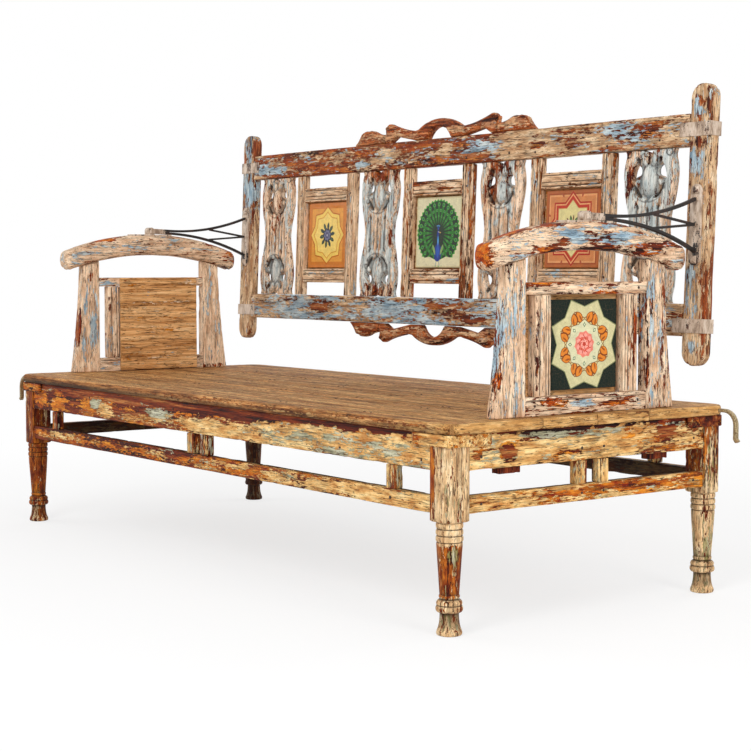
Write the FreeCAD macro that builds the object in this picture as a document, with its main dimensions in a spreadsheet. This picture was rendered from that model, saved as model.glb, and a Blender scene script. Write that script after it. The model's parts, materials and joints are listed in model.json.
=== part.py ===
"""A takht bench whose back swings over from one long side to the other.

Frame: +X runs along the bench, +Y points to the side where the back rests, +Z is up, and the
origin is on the floor under the middle of the seat. Millimetres and degrees throughout.
The back hangs from two iron forks. Each fork turns on a pin at the middle of an arm, and lies on
the end of its lug plate at both ends of its swing.
"""
import FreeCAD, Part
import Sketcher
import os
import re

doc = FreeCAD.newDocument("SwingBackTakht")
sheet = doc.addObject("Spreadsheet::Sheet", "Sizes")

SIZES = [
    # the seat and its planks
    ("seat_long", 2090, "length of the seat board"),
    ("seat_deep", 864, "depth of the seat board"),
    ("seat_thick", 24, "thickness of the planks"),
    ("seat_top", 455, "height of the sitting face"),
    ("seat_clip", 24, "length cut off each corner of the board"),
    ("seat_nose", 6, "bevel of the board's outer edges"),
    ("plank_margin", 23, "from the joint of the planks to the inside of the arm posts"),
    ("plank_gap", 0.8, "gap between planks"),
    ("batten_wide", 70, "width of the battens under the planks"),
    ("batten_thick", 20, "thickness of the battens"),
    ("batten_end", 307, "from an arm's middle to the last batten's"),
    ("board_ease", 2.5, "bevel on the edges of the boards"),
    # the legs
    ("seat_over_end", 12, "how far the board stands past the legs at the ends"),
    ("seat_over_front", 7, "how far the board stands past the legs at front and rear"),
    ("leg_square", 60, "side of the square part of a leg"),
    ("leg_clip", 10, "bevel on the outer corner of a leg"),
    ("turned_tall", 243, "height of the turned part of a leg"),
    ("knee_high", 200, "height at which the rings begin"),
    ("ring_wide", 60, "diameter of the rings"),
    ("ring_groove", 54, "diameter between the rings"),
    ("ankle_wide", 43, "diameter at the bottom of the taper"),
    ("collar_low", 50, "height of the underside of the collar"),
    ("collar_tall", 30, "height of the collar"),
    ("collar_wide", 60, "diameter of the collar"),
    ("collar_neck", 43, "diameter under the collar"),
    ("foot_wide", 57, "diameter of the foot"),
    ("foot_tall", 8, "height of the upright edge of the foot"),
    # the frame under the seat
    ("apron_tall", 79, "height of the aprons"),
    ("apron_thick", 20, "thickness of the aprons"),
    ("rail_set_in", 3, "how far aprons and stretchers lie inside the leg faces"),
    ("stretcher_low", 260, "height of the underside of the stretchers"),
    ("stretcher_tall", 38, "height of the stretchers"),
    ("stretcher_thick", 28, "thickness of the stretchers"),
    ("block_wide", 32, "width of the blocks between apron and stretcher"),
    ("block_deep", 24, "depth of the blocks"),
    ("block_pair", 68, "distance between the middles of a pair of blocks"),
    ("block_in", 203, "from the outside of the legs to the middle of the single blocks"),
    ("moulding_tall", 27, "height of the corner mouldings"),
    ("moulding_proud", 6, "how far the mouldings stand off the legs"),
    ("moulding_run", 128, "length of a moulding from its corner"),
    ("moulding_slant", 10, "cut on the ends of a moulding"),
    # the hooks at two opposite corners
    ("hook_in", 28, "from the long edge of the board to a hook's middle"),
    ("hook_wide", 12, "width of the hook bar"),
    ("hook_thick", 8, "thickness of the hook bar"),
    ("hook_inner", 30, "inner radius of the hook's bend"),
    ("hook_out", 46, "from the board's end to the inside of the hook"),
    ("hook_drop", 63, "from the shank's underside down to the hook's bend at the tip"),
    ("hook_flare", 6, "how far the tip turns out"),
    ("hook_shank", 40, "length of the shank in the board"),
    ("slip_fit", 0.3, "clearance round a piece let into another"),
    # the arms
    ("post_thick", 32, "thickness of the arm posts"),
    ("slot_wide", 30.5, "open slot between a post and the stick beside the tile"),
    ("post_wide", 89, "width of a post at its foot"),
    ("post_flare", 32, "how far a post's foot stands past its top"),
    ("post_hollow", 5, "hollow of a post's outer edge"),
    ("tenon_thick", 26, "thickness of the tenon under a post"),
    ("tenon_wide", 62, "width of the tenon"),
    ("tenon_in", 12, "from the inside of a post to its tenon"),
    ("tenon_long", 120, "length of the tenon under the seat's top"),
    ("arm_foot_rail", 43, "height of the arm's bottom rail"),
    ("arm_head_rail", 28, "height of the rail over the tile"),
    ("arm_rail_thick", 28, "thickness of the arm's two rails"),
    ("arm_gap", 71, "from the rail over the tile to the middle of the arch's underside"),
    ("arm_middle", 66, "height of the arm rail at its middle"),
    ("arm_top_round", 845, "radius of the arch's top"),
    ("arm_under_round", 918, "radius of the arch's underside"),
    ("arm_past_post", 11, "from a post's foot to where the arm rail's rounded end begins"),
    ("arm_nose", 18, "how far the rounded end stands out"),
    ("arm_wide", 62, "width of the arm rail"),
    ("arm_soft", 9, "bevel along the edges of the arm rail"),
    ("arm_blunt", 15, "height of the slants at the rail's ends"),
    # the tiles and what holds them
    ("tile_square", 203, "side of a tile"),
    ("tile_thick", 8, "thickness of a tile"),
    ("tile_rim", 11, "board showing round a tile"),
    ("tile_stile", 45, "width of the upright sticks beside an arm's tile"),
    ("stick_thick", 20, "thickness of the sticks round a tile"),
    ("board_thick", 9, "thickness of the board behind a tile"),
    ("board_over", 25, "how far the board reaches past the opening"),
    # the lugs, pins and forks
    ("lug_half", 75, "half the length of a lug plate"),
    ("lug_wide", 42, "width of a lug plate"),
    ("lug_thick", 5, "thickness of a lug plate"),
    ("lug_swell", 7, "swell of a lug plate's ends"),
    ("ear_thick", 6, "thickness of the lug's ears"),
    ("eye_round", 11, "radius of the ears and of the fork's eye"),
    ("pin_wide", 10, "diameter of the pin"),
    ("pin_play", 0.05, "clearance all round the pin in the fork's eye"),
    ("side_play", 0.4, "clearance at each side of the fork's eye"),
    ("rivet_wide", 15, "side of the pin's square heads"),
    ("rivet_tall", 4, "height of the pin's heads"),
    ("stop_play", 0.3, "clearance between fork and lug plate at rest"),
    ("recline", 2.33, "lean of the back from upright"),
    ("back_room", 61, "from the arm rail's end to the front of the back"),
    ("fork_thick", 12, "thickness of the fork's bars"),
    ("shank_half", 8, "half the height of the two bars where they run together"),
    ("shank_long", 70, "from the pin to where the bars part"),
    ("bar_slit", 1, "slit between the bars where they part"),
    ("tine_bar", 8, "height of one bar of the fork"),
    ("tine_spread", 62, "from the fork's middle to a bar's far end"),
    ("tine_bow", 15, "bow of a bar"),
    ("brace_bar", 6, "height of the fork's braces"),
    ("brace_thick", 7, "thickness of the fork's braces"),
    ("brace_long", 139, "from the plate to where the braces leave the bars"),
    ("brace_gap", 16, "from the fork's middle to where a brace begins"),
    ("plate_thick", 6, "thickness of the fork's plate"),
    ("plate_wide", 35, "width of the fork's plate"),
    ("plate_half", 97, "half the height of the fork's plate"),
    ("bolt_place", 83, "from the fork's middle to each of its bolts"),
    ("bolt_wide", 8, "side of a bolt's square shank"),
    ("bolt_head", 19, "side of a bolt's head"),
    ("head_tall", 6, "height of a bolt's head"),
    ("head_slant", 5, "bevel that shapes a bolt's head"),
    ("nut_wide", 16, "side of the plate that a bolt is riveted over"),
    ("nut_tall", 4, "thickness of that plate"),
    # the back
    ("stile_wide", 69, "width of the back's end stiles"),
    ("back_thick", 32, "thickness of the back's stiles and rails"),
    ("stile_past", 70, "how far a stile stands past the rails"),
    ("rail_tall", 79, "height of the back's rails"),
    ("last_splat", 168, "from an arm's middle to the middle of the last splat"),
    ("frame_stick", 43, "width of the sticks of the back's tile frames"),
    ("frame_rim", 3.5, "gap over and under a tile in its frame"),
    ("frame_forward", 1, "how far the tile frames stand forward of the back's middle"),
    ("bay_gap", 40, "height of the gap between a tile frame's level sticks and the rails"),
    ("back_board", 6, "thickness of the boards behind the back's tiles"),
    ("strap_thick", 2, "thickness of the straps"),
    ("strap_tall", 34, "height of the straps"),
    ("strap_on_rail", 30, "how far a strap reaches onto the rail"),
    ("strap_high", 40, "from a rail's inside to the middle of an upper strap"),
    ("strap_low", 53, "from a rail's inside to the middle of a lower strap"),
    # the carved splats
    ("splat_thick", 24, "thickness of the splats"),
    ("splat_end", 58, "half the width of a splat at the rails"),
    ("splat_shoulder", 78, "half the width at the shoulder"),
    ("splat_waist", 65, "half the width at the waist"),
    ("scroll_down", 22, "from the rail to the notch under a splat's corner scroll"),
    ("scroll_notch", 63.5, "half the width of the splat at that notch"),
    ("scroll_swell", 5, "swell of the edge over the shoulder"),
    ("shoulder_down", 70, "from the rail to the shoulder"),
    ("shoulder_tall", 34, "height of the shoulder"),
    ("waist_in", 4, "hollow of the waist over and under its narrowest place"),
    ("heart_place", 44, "from a splat's middle to its pierced drops"),
    ("heart_down", 48, "from the rail to the middle of the pierced drops"),
    ("drop_half", 14, "half the width of a pierced drop"),
    ("drop_tall", 22, "half the height of a pierced drop"),
    ("mouth_half", 26, "half the width of the notch between the scrolls"),
    ("mouth_deep", 22, "depth of that notch"),
    # the crests
    ("crest_thick", 28, "thickness of a crest"),
    ("crest_peak", 58, "height of the crest's arch"),
    ("crest_arch", 95, "half the width of the arch"),
    ("crest_swell", 6, "swell of the arch's two sides"),
    ("crest_dip", 32, "height of the dip beside the arch"),
    ("crest_mouth", 52, "half the width of the opening under the arch"),
    ("crest_mouth_tall", 33, "height of the opening under the arch"),
    ("ribbon_from", 108, "from the middle to the gap under the ribbon"),
    ("ribbon_to", 228, "from the middle to the far end of that gap"),
    ("ribbon_slope", 30, "length of the slope at the gap's far end"),
    ("ribbon_gap", 17, "height of the gap under the ribbon"),
    ("ribbon_tip", 250, "from the middle to the ribbon's tip"),
    ("ribbon_curl", 22, "length of the curl at the ribbon's tip"),
    ("ribbon_fall", 8, "drop of that curl"),
    ("ribbon_hollow", 3, "hollow of the ribbon's upper edge"),
    ("ribbon_high", 56, "height of the ribbon's tip"),
    ("ribbon_drop", 27, "height at the foot of the ribbon's tip"),
    ("lobe_from", 300, "from the middle to where the end lobe begins"),
    ("lobe_to", 372, "from the middle to where the end lobe ends"),
    ("lobe_high", 35, "height where the end lobe begins and ends"),
    ("lobe_swell", 8, "swell of the end lobe"),
    ("crest_half", 408, "half the length of a crest"),
]
for line, (name, value, note) in enumerate(SIZES, start=1):
    sheet.set("A%d" % line, note)
    sheet.set("B%d" % line, str(value))
    sheet.setAlias("B%d" % line, name)
doc.recompute()

# Places that follow from the sizes, as formulas of the sheet's names.
LEG_X = "(seat_long/2-seat_over_end)"
LEG_Y = "(seat_deep/2-seat_over_front)"
SEAT_UNDER = "(seat_top-seat_thick)"
APRON_X = "(%s-rail_set_in-apron_thick/2)" % LEG_X
APRON_Y = "(%s-rail_set_in-apron_thick/2)" % LEG_Y
STRETCHER_X = "(%s-rail_set_in-stretcher_thick/2)" % LEG_X
STRETCHER_Y = "(%s-rail_set_in-stretcher_thick/2)" % LEG_Y
ARM_X = "(%s-apron_thick/2-tenon_thick/2)" % APRON_X
BATTEN_PITCH = "((%s-batten_end)/2)" % ARM_X
BLOCK_LONE = "(%s-block_in)" % LEG_X
HOOK_Y = "(seat_deep/2-hook_in)"
# an arm, from its tile outward and upward
OPENING_HALF = "(tile_square/2+tile_rim)"
POST_INNER = "(%s+tile_stile+slot_wide)" % OPENING_HALF
POST_FOOT = "(%s+post_wide)" % POST_INNER
POST_HEAD = "(%s-post_flare)" % POST_FOOT
ARM_HALF = "(%s+arm_past_post)" % POST_FOOT
PLANK_JOINT = "(%s-plank_margin)" % POST_INNER
TILE_Z = "(seat_top+arm_foot_rail+%s)" % OPENING_HALF
ARM_HEAD = "(%s+%s)" % (TILE_Z, OPENING_HALF)
ARM_PEAK = "(%s+arm_head_rail+arm_gap+arm_middle)" % ARM_HEAD
FLAT_HALF = "sqrt(arm_top_round^2-(arm_top_round-lug_thick)^2)"
PIVOT_RISE = "((shank_half+stop_play+lug_half*sin(recline))/cos(recline))"
PIVOT_Z = "(%s+%s)" % (ARM_PEAK, PIVOT_RISE)
# the back: along the forks from the pins, along the bench, and up and down from its middle
FORK_REACH = "(%s+arm_nose+back_room)" % ARM_HALF
BACK_MIDDLE = "(%s+back_thick/2)" % FORK_REACH
BAY = "((%s-last_splat)/3)" % ARM_X
FRAME_HALF = "(tile_square/2+frame_rim)"
FRAME_NEAR = "(%s-stick_thick/2-frame_forward)" % BACK_MIDDLE
FRAME_FAR = "(%s+stick_thick)" % FRAME_NEAR
RAIL_INNER = "(%s+frame_stick+bay_gap)" % FRAME_HALF
RAIL_OUTER = "(%s+rail_tall)" % RAIL_INNER
STILE_HALF = "(%s+stile_past)" % RAIL_OUTER


def cell(formula):
    """The formula with each size's name pointed at the sheet."""
    return re.sub(r"\b([a-z]\w*)\b(?!\s*\()", r"Sizes.\1", formula)


def number(formula):
    """What the formula comes to now."""
    return float(sheet.evalExpression(cell(formula)))


def arch_top(y):
    """Height of the arm rail's top at a distance from its middle."""
    return "(%s-arm_top_round+sqrt(arm_top_round^2-(%s)^2))" % (ARM_PEAK, y)


def arch_under(y):
    """Height of the arm rail's underside at a distance from its middle."""
    return "(%s-arm_middle-arm_under_round+sqrt(arm_under_round^2-(%s)^2))" % (ARM_PEAK, y)


def rise(radius, chord):
    """Height of an arc of the radius over a chord."""
    return "(%s-sqrt((%s)^2-(%s)^2/4))" % (radius, radius, chord)


# ---------------------------------------------------------------- drawing and shaping

def new_body(label):
    body = doc.addObject("PartDesign::Body", label)
    body.Label = label
    body.AllowCompound = True
    return body


def arc_middle(start, end, swell):
    """Formulas of the centre of an arc that swells to the right of the way from start to end."""
    across = "((%s)-(%s))" % (end[0], start[0])
    upward = "((%s)-(%s))" % (end[1], start[1])
    chord = "(%s^2+%s^2)" % (across, upward)
    shift = "(((%s)^2-%s/4)/(2*(%s))/sqrt(%s))" % (swell, chord, swell, chord)
    middle_x = "(((%s)+(%s))/2+%s*%s)" % (start[0], end[0], upward, shift)
    middle_y = "(((%s)+(%s))/2-%s*%s)" % (start[1], end[1], across, shift)
    return middle_x, middle_y


def add_side(sketch, start, end, swell):
    """A line, or an arc that swells to the right, between two corners; returns its start and end."""
    here = FreeCAD.Vector(number(start[0]), number(start[1]), 0)
    there = FreeCAD.Vector(number(end[0]), number(end[1]), 0)
    if swell is None:
        return sketch.addGeometry(Part.LineSegment(here, there), False), 1, 2, None
    run = there - here
    right = FreeCAD.Vector(run.y, -run.x, 0).normalize()
    top = (here + there) * 0.5 + right * number(swell)
    side = sketch.addGeometry(Part.Arc(here, top, there), False)
    begins = 1 if sketch.getPoint(side, 1).distanceToPoint(here) < 1e-3 else 2
    centre = arc_middle(start, end, swell)
    level = abs(run.x) >= abs(run.y)
    return side, begins, 3 - begins, ("DistanceY", centre[1]) if level else ("DistanceX", centre[0])


def draw(body, plane, at, *loops):
    """A sketch on one of the body's own planes, moved `at` along the row axis across the plane.

    A loop is a list of corners (x, y) or (x, y, swell), or one ("round", x, y, radius). The side
    after a corner with a swell is an arc that swells outward where the loop runs anticlockwise.
    """
    sketch = body.newObject("Sketcher::SketchObject", "outline")
    support = [face for face in body.Origin.OriginFeatures if face.Role == plane][0]
    sketch.AttachmentSupport = [(support, "")]
    sketch.MapMode = "FlatFace"
    turn = "-1*" if plane == "XZ_Plane" else ""
    sketch.setExpression("AttachmentOffset.Base.z", cell(turn + "(%s)" % at))
    rules = []
    for loop in loops:
        if loop[0] == "round":
            name, x, y, radius = loop
            middle = FreeCAD.Vector(number(x), number(y), 0)
            circle = Part.Circle(middle, FreeCAD.Vector(0, 0, 1), number(radius))
            side = sketch.addGeometry(circle, False)
            rules.append((("DistanceX", -1, 1, side, 3), x))
            rules.append((("DistanceY", -1, 1, side, 3), y))
            rules.append((("Radius", side), radius))
            continue
        sides = []
        for spot, corner in enumerate(loop):
            after = loop[(spot + 1) % len(loop)]
            swell = corner[2] if len(corner) > 2 else None
            sides.append(add_side(sketch, corner, after, swell))
        for spot, (side, begins, ends, centre) in enumerate(sides):
            following = sides[(spot + 1) % len(sides)]
            rules.append((("Coincident", side, ends, following[0], following[1]), None))
            rules.append((("DistanceX", -1, 1, side, begins), loop[spot][0]))
            rules.append((("DistanceY", -1, 1, side, begins), loop[spot][1]))
            if centre:
                rules.append(((centre[0], -1, 1, side, 3), centre[1]))
    made = []
    for rule, formula in rules:
        value = [] if formula is None else [number(formula)]
        made.append(Sketcher.Constraint(*rule, *value))
    sketch.addConstraint(made)
    for spot, (rule, formula) in enumerate(rules):
        if formula is not None:
            sketch.setExpression("Constraints[%d]" % spot, cell(formula))
    return sketch


def pad(body, sketch, length, both_ways=True):
    feature = body.newObject("PartDesign::Pad", "pad")
    feature.Profile = sketch
    feature.SideType = "Symmetric" if both_ways else "One side"
    feature.setExpression("Length", cell(length))
    body.Tip = feature
    return feature


def pocket(body, sketch, length):
    """Cuts the sketch half the length to each side of its plane."""
    doc.recompute()
    feature = body.newObject("PartDesign::Pocket", "pocket")
    feature.Profile = sketch
    feature.SideType = "Symmetric"
    feature.setExpression("Length", cell(length))
    body.Tip = feature
    return feature


STRAIGHT = 1e-4  # how far an edge may be longer than its chord and still be straight


def long_edges(feature, axis):
    """Names of the straight edges of a feature that run along an axis."""
    doc.recompute()
    way = {"X": FreeCAD.Vector(1, 0, 0), "Y": FreeCAD.Vector(0, 1, 0), "Z": FreeCAD.Vector(0, 0, 1)}
    names = []
    for spot, edge in enumerate(feature.Shape.Edges, start=1):
        run = edge.Vertexes[-1].Point - edge.Vertexes[0].Point
        straight = run.Length > 1 and abs(edge.Length - run.Length) < STRAIGHT
        if straight and abs(run.normalize().dot(way[axis])) > 0.999:
            names.append("Edge%d" % spot)
    return names


def ease(body, feature, edges, size):
    """Bevels the edges of a board."""
    bevel = body.newObject("PartDesign::Chamfer", "ease")
    bevel.Base = (feature, edges)
    bevel.setExpression("Size", cell(size))
    body.Tip = bevel
    return bevel


def stand(part, x="0", y="0", turned=0):
    """Places a part of the bench, turned about the vertical."""
    part.Placement = FreeCAD.Placement(FreeCAD.Vector(), FreeCAD.Rotation(FreeCAD.Vector(0, 0, 1), turned))
    part.setExpression("Placement.Base.x", cell(x))
    part.setExpression("Placement.Base.y", cell(y))


def hang(part):
    """Places a part of the back: its origin on the pin's axis, its Y axis along the forks."""
    tilt = FreeCAD.Rotation(FreeCAD.Vector(1, 0, 0), -number("recline"))
    part.Placement = FreeCAD.Placement(FreeCAD.Vector(0, 0, number(PIVOT_Z)), tilt)
    part.setExpression("Placement.Base.z", cell(PIVOT_Z))
    part.setExpression("Placement.Rotation.Angle", cell("-recline"))


def rectangle(x0, x1, y0, y1):
    return [(x0, y0), (x1, y0), (x1, y1), (x0, y1)]


def flip(loop, across):
    """A loop's mirror image, still anticlockwise: across "x" changes the sign of x, "y" of y."""
    image = []
    for spot in range(len(loop) - 1, -1, -1):
        x, y = loop[spot][:2]
        if across == "x":
            x = "-1*(%s)" % x
        else:
            y = "-1*(%s)" % y
        image.append((x, y) + loop[spot - 1][2:])
    return image


def both_halves(right, last):
    """A chain of corners and its mirror image across x = 0; `last` is the swell that closes it."""
    left = flip(right, "x")
    left[-1] = left[-1][:2] + ((last,) if last else ())
    return right, left


def board(label, along, x0, x1, y0, y1, z0, z1):
    """A straight board with its long edges eased."""
    body = new_body(label)
    feature = pad(body, draw(body, "XY_Plane", z0, rectangle(x0, x1, y0, y1)),
                  "(%s)-(%s)" % (z1, z0), both_ways=False)
    ease(body, feature, long_edges(feature, along), "board_ease")
    return body


def box(x0, x1, y0, y1, z0, z1):
    """One member of a group of sticks."""
    stick = doc.addObject("Part::Box", "stick")
    stick.setExpression("Length", cell("(%s)-(%s)" % (x1, x0)))
    stick.setExpression("Width", cell("(%s)-(%s)" % (y1, y0)))
    stick.setExpression("Height", cell("(%s)-(%s)" % (z1, z0)))
    stick.setExpression("Placement.Base.x", cell(x0))
    stick.setExpression("Placement.Base.y", cell(y0))
    stick.setExpression("Placement.Base.z", cell(z0))
    return stick


def group(label, members):
    """Separate solids in one node."""
    gathered = doc.addObject("Part::Compound", label)
    gathered.Label = label
    gathered.Links = members
    return gathered


parts = []

# ---------------------------------------------------------------- seat

def edge_plank(label, turned):
    """An outer plank of the seat, with clipped corners, a bevelled edge and the posts' mortises."""
    body = new_body(label)
    end = "(seat_long/2)"
    front = "(-seat_deep/2)"
    inner = "(-1*%s-plank_gap/2)" % PLANK_JOINT
    outline = [("-%s+seat_clip" % end, front), ("%s-seat_clip" % end, front),
               (end, "%s+seat_clip" % front), (end, inner),
               ("-%s" % end, inner), ("-%s" % end, "%s+seat_clip" % front)]
    plank = pad(body, draw(body, "XY_Plane", SEAT_UNDER, outline), "seat_thick", both_ways=False)
    doc.recompute()
    edges = []
    for spot, edge in enumerate(plank.Shape.Edges, start=1):
        middle = edge.CenterOfMass
        level = abs(edge.Vertexes[0].Z - edge.Vertexes[-1].Z) < 1e-6
        if level and middle.y < number(inner) - plank.Shape.getTolerance(0):
            edges.append("Edge%d" % spot)
    ease(body, plank, edges, "seat_nose")
    mortises = []
    for side in ("-1*", "1*"):
        near = "(%s%s-tenon_thick/2-slip_fit)" % (side, ARM_X)
        far = "(%s%s+tenon_thick/2+slip_fit)" % (side, ARM_X)
        inside = "-1*%s-tenon_in" % POST_INNER
        mortises.append(rectangle(near, far, "(%s-tenon_wide-slip_fit)" % inside, "(%s+slip_fit)" % inside))
    pocket(body, draw(body, "XY_Plane", "seat_top", *mortises), "4*seat_thick")
    shank = rectangle("(-seat_long/2-hook_out)", "(-seat_long/2+hook_shank)",
                      "(-1*%s-hook_wide/2)" % HOOK_Y, "(-1*%s+hook_wide/2)" % HOOK_Y)
    pocket(body, draw(body, "XY_Plane", "(seat_top-seat_thick/2)", shank), "hook_thick")
    stand(body, turned=turned)
    return body


def inner_plank(label, turned):
    """A plank of the middle of the seat, bevelled at its two ends."""
    body = new_body(label)
    near = "(-1*%s+plank_gap/2)" % PLANK_JOINT
    outline = rectangle("(-seat_long/2)", "(seat_long/2)", near, "(-plank_gap/2)")
    plank = pad(body, draw(body, "XY_Plane", SEAT_UNDER, outline), "seat_thick", both_ways=False)
    ease(body, plank, long_edges(plank, "Y"), "seat_nose")
    stand(body, turned=turned)
    return body


parts.append(edge_plank("seat_plank_front", 0))
parts.append(edge_plank("seat_plank_rear", 180))
parts.append(inner_plank("seat_plank_inner_front", 0))
parts.append(inner_plank("seat_plank_inner_rear", 180))

battens = []
for step in (-2, -1, 0, 1, 2):
    middle = "(%d*%s)" % (step, BATTEN_PITCH)
    battens.append(box("%s-batten_wide/2" % middle, "%s+batten_wide/2" % middle,
                       "-1*(%s-apron_thick/2)" % APRON_Y, "(%s-apron_thick/2)" % APRON_Y,
                       "%s-batten_thick" % SEAT_UNDER, SEAT_UNDER))
parts.append(group("seat_battens", battens))


# ---------------------------------------------------------------- legs and lower frame

RINGS = 3
TURNED_SIDES = 24


def turned_form(rows):
    """A turned form, drawn with many flats, through rows of (diameter, height) from the foot up."""
    sections = []
    for wide, height in rows:
        section = doc.addObject("Part::RegularPolygon", "row")
        section.Polygon = TURNED_SIDES
        section.setExpression("Circumradius", cell("%s/2" % wide))
        section.setExpression("Placement.Base.z", cell(height))
        sections.append(section)
    form = doc.addObject("Part::Loft", "turned_form")
    form.Sections = sections
    form.Solid = True
    form.Ruled = True
    form.Linearize = True
    return form


def leg(label, side_x, side_y, turned):
    """A leg: a square post over a turned and tapered foot."""
    post = new_body("post")
    half = "(leg_square/2)"
    square = [("-%s" % half, "-%s" % half), (half, "-%s" % half), (half, "%s-leg_clip" % half),
              ("%s-leg_clip" % half, half), ("-%s" % half, half)]
    pad(post, draw(post, "XY_Plane", "turned_tall", square), "%s-turned_tall" % SEAT_UNDER,
        both_ways=False)
    ring = "((turned_tall-knee_high)/%d)" % RINGS
    rows = [("foot_wide", "0"), ("foot_wide", "foot_tall"), ("collar_neck", "collar_low"),
            ("collar_wide", "collar_low+collar_tall/2"), ("ankle_wide", "collar_low+collar_tall"),
            ("ring_wide", "knee_high")]
    for step in range(RINGS):
        rows.append(("ring_groove", "knee_high+(%d+1/2)*%s" % (step, ring)))
        rows.append(("ring_wide", "knee_high+%d*%s" % (step + 1, ring)))
    whole = doc.addObject("Part::MultiFuse", label)
    whole.Label = label
    whole.Shapes = [post, turned_form(rows)]
    stand(whole, "%s(%s-leg_square/2)" % (side_x, LEG_X), "%s(%s-leg_square/2)" % (side_y, LEG_Y), turned)
    return whole


parts.append(leg("leg_rear_right", "1*", "1*", 0))
parts.append(leg("leg_rear_left", "-1*", "1*", 90))
parts.append(leg("leg_front_left", "-1*", "-1*", 180))
parts.append(leg("leg_front_right", "1*", "-1*", 270))

for kind, low, tall, thick, middle_x, middle_y in (
        ("apron", "(%s-apron_tall)" % SEAT_UNDER, "apron_tall", "apron_thick", APRON_X, APRON_Y),
        ("stretcher", "stretcher_low", "stretcher_tall", "stretcher_thick", STRETCHER_X, STRETCHER_Y)):
    reach_x = "(%s-leg_square)" % LEG_X
    reach_y = "(%s-leg_square)" % LEG_Y
    high = "(%s+%s)" % (low, tall)
    for place, side in (("front", "-1*"), ("rear", "1*")):
        inside = "%s%s-%s/2" % (side, middle_y, thick)
        outside = "%s%s+%s/2" % (side, middle_y, thick)
        parts.append(board("%s_%s" % (kind, place), "X", "-1*" + reach_x, reach_x,
                           inside, outside, low, high))
    for place, side in (("left", "-1*"), ("right", "1*")):
        inside = "%s%s-%s/2" % (side, middle_x, thick)
        outside = "%s%s+%s/2" % (side, middle_x, thick)
        parts.append(board("%s_%s" % (kind, place), "Y", inside, outside,
                           "-1*" + reach_y, reach_y, low, high))

blocks = []
BLOCK_LOW = "(stretcher_low+stretcher_tall)"
BLOCK_HIGH = "(%s-apron_tall)" % SEAT_UNDER
for side in ("-1*", "1*"):
    row = "(%s(%s-rail_set_in-block_deep/2))" % (side, LEG_Y)
    for place in ("-1*" + BLOCK_LONE, "-1*block_pair/2", "block_pair/2", BLOCK_LONE):
        blocks.append(box("%s-block_wide/2" % place, "%s+block_wide/2" % place,
                          "%s-block_deep/2" % row, "%s+block_deep/2" % row, BLOCK_LOW, BLOCK_HIGH))
    row = "(%s(%s-rail_set_in-block_deep/2))" % (side, LEG_X)
    for place in ("-1*block_pair/2", "block_pair/2"):
        blocks.append(box("%s-block_deep/2" % row, "%s+block_deep/2" % row,
                          "%s-block_wide/2" % place, "%s+block_wide/2" % place, BLOCK_LOW, BLOCK_HIGH))
parts.append(group("spacer_blocks", blocks))

# One moulding wraps the corner of a leg under the board; the others are its mirror images.
mouldings = new_body("corner_mouldings")
out_x = "(%s+moulding_proud)" % LEG_X
out_y = "(%s+moulding_proud)" % LEG_Y
bevel = "(leg_clip+moulding_proud*(2-sqrt(2)))"
wrap = [(LEG_X, "%s-moulding_run" % out_y), (out_x, "%s-moulding_run+moulding_slant" % out_y),
        (out_x, "%s-%s" % (out_y, bevel)), ("%s-%s" % (out_x, bevel), out_y),
        ("%s-moulding_run+moulding_slant" % out_x, out_y), ("%s-moulding_run" % out_x, LEG_Y),
        ("%s-leg_clip" % LEG_X, LEG_Y), (LEG_X, "%s-leg_clip" % LEG_Y)]
for corner in (wrap, flip(wrap, "x"), flip(wrap, "y"), flip(flip(wrap, "x"), "y")):
    pad(mouldings, draw(mouldings, "XY_Plane", "%s-moulding_tall" % SEAT_UNDER, corner),
        "moulding_tall", both_ways=False)
parts.append(mouldings)


def hook(label, side, turned):
    """A flat iron hook whose shank is let into the end of the outer plank."""
    body = new_body(label)
    top = "(seat_top-seat_thick/2+hook_thick/2)"
    under = "(seat_top-seat_thick/2-hook_thick/2)"
    outer = "(hook_inner+hook_thick)"
    low = "(%s-hook_drop)" % under
    outline = [("-hook_shank", under), ("hook_out-hook_inner", under, "-(1-sqrt(0.5))*hook_inner"),
               ("hook_out", "%s-hook_inner" % under), ("hook_out", low),
               ("hook_out+hook_flare", "%s-hook_thick" % low),
               ("hook_out+hook_flare+hook_thick", "%s-hook_thick/2" % low),
               ("hook_out+hook_thick", "%s+hook_thick/2" % low),
               ("hook_out+hook_thick", "%s-hook_inner" % under, "(1-sqrt(0.5))*%s" % outer),
               ("hook_out-hook_inner", top), ("-hook_shank", top)]
    pad(body, draw(body, "XZ_Plane", "0", outline), "hook_wide")
    stand(body, "%s(seat_long/2)" % side, "%s%s" % (side, HOOK_Y), turned)
    return body


parts.append(hook("hook_rear_right", "1*", 0))
parts.append(hook("hook_front_left", "-1*", 180))


# ---------------------------------------------------------------- arms

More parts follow.
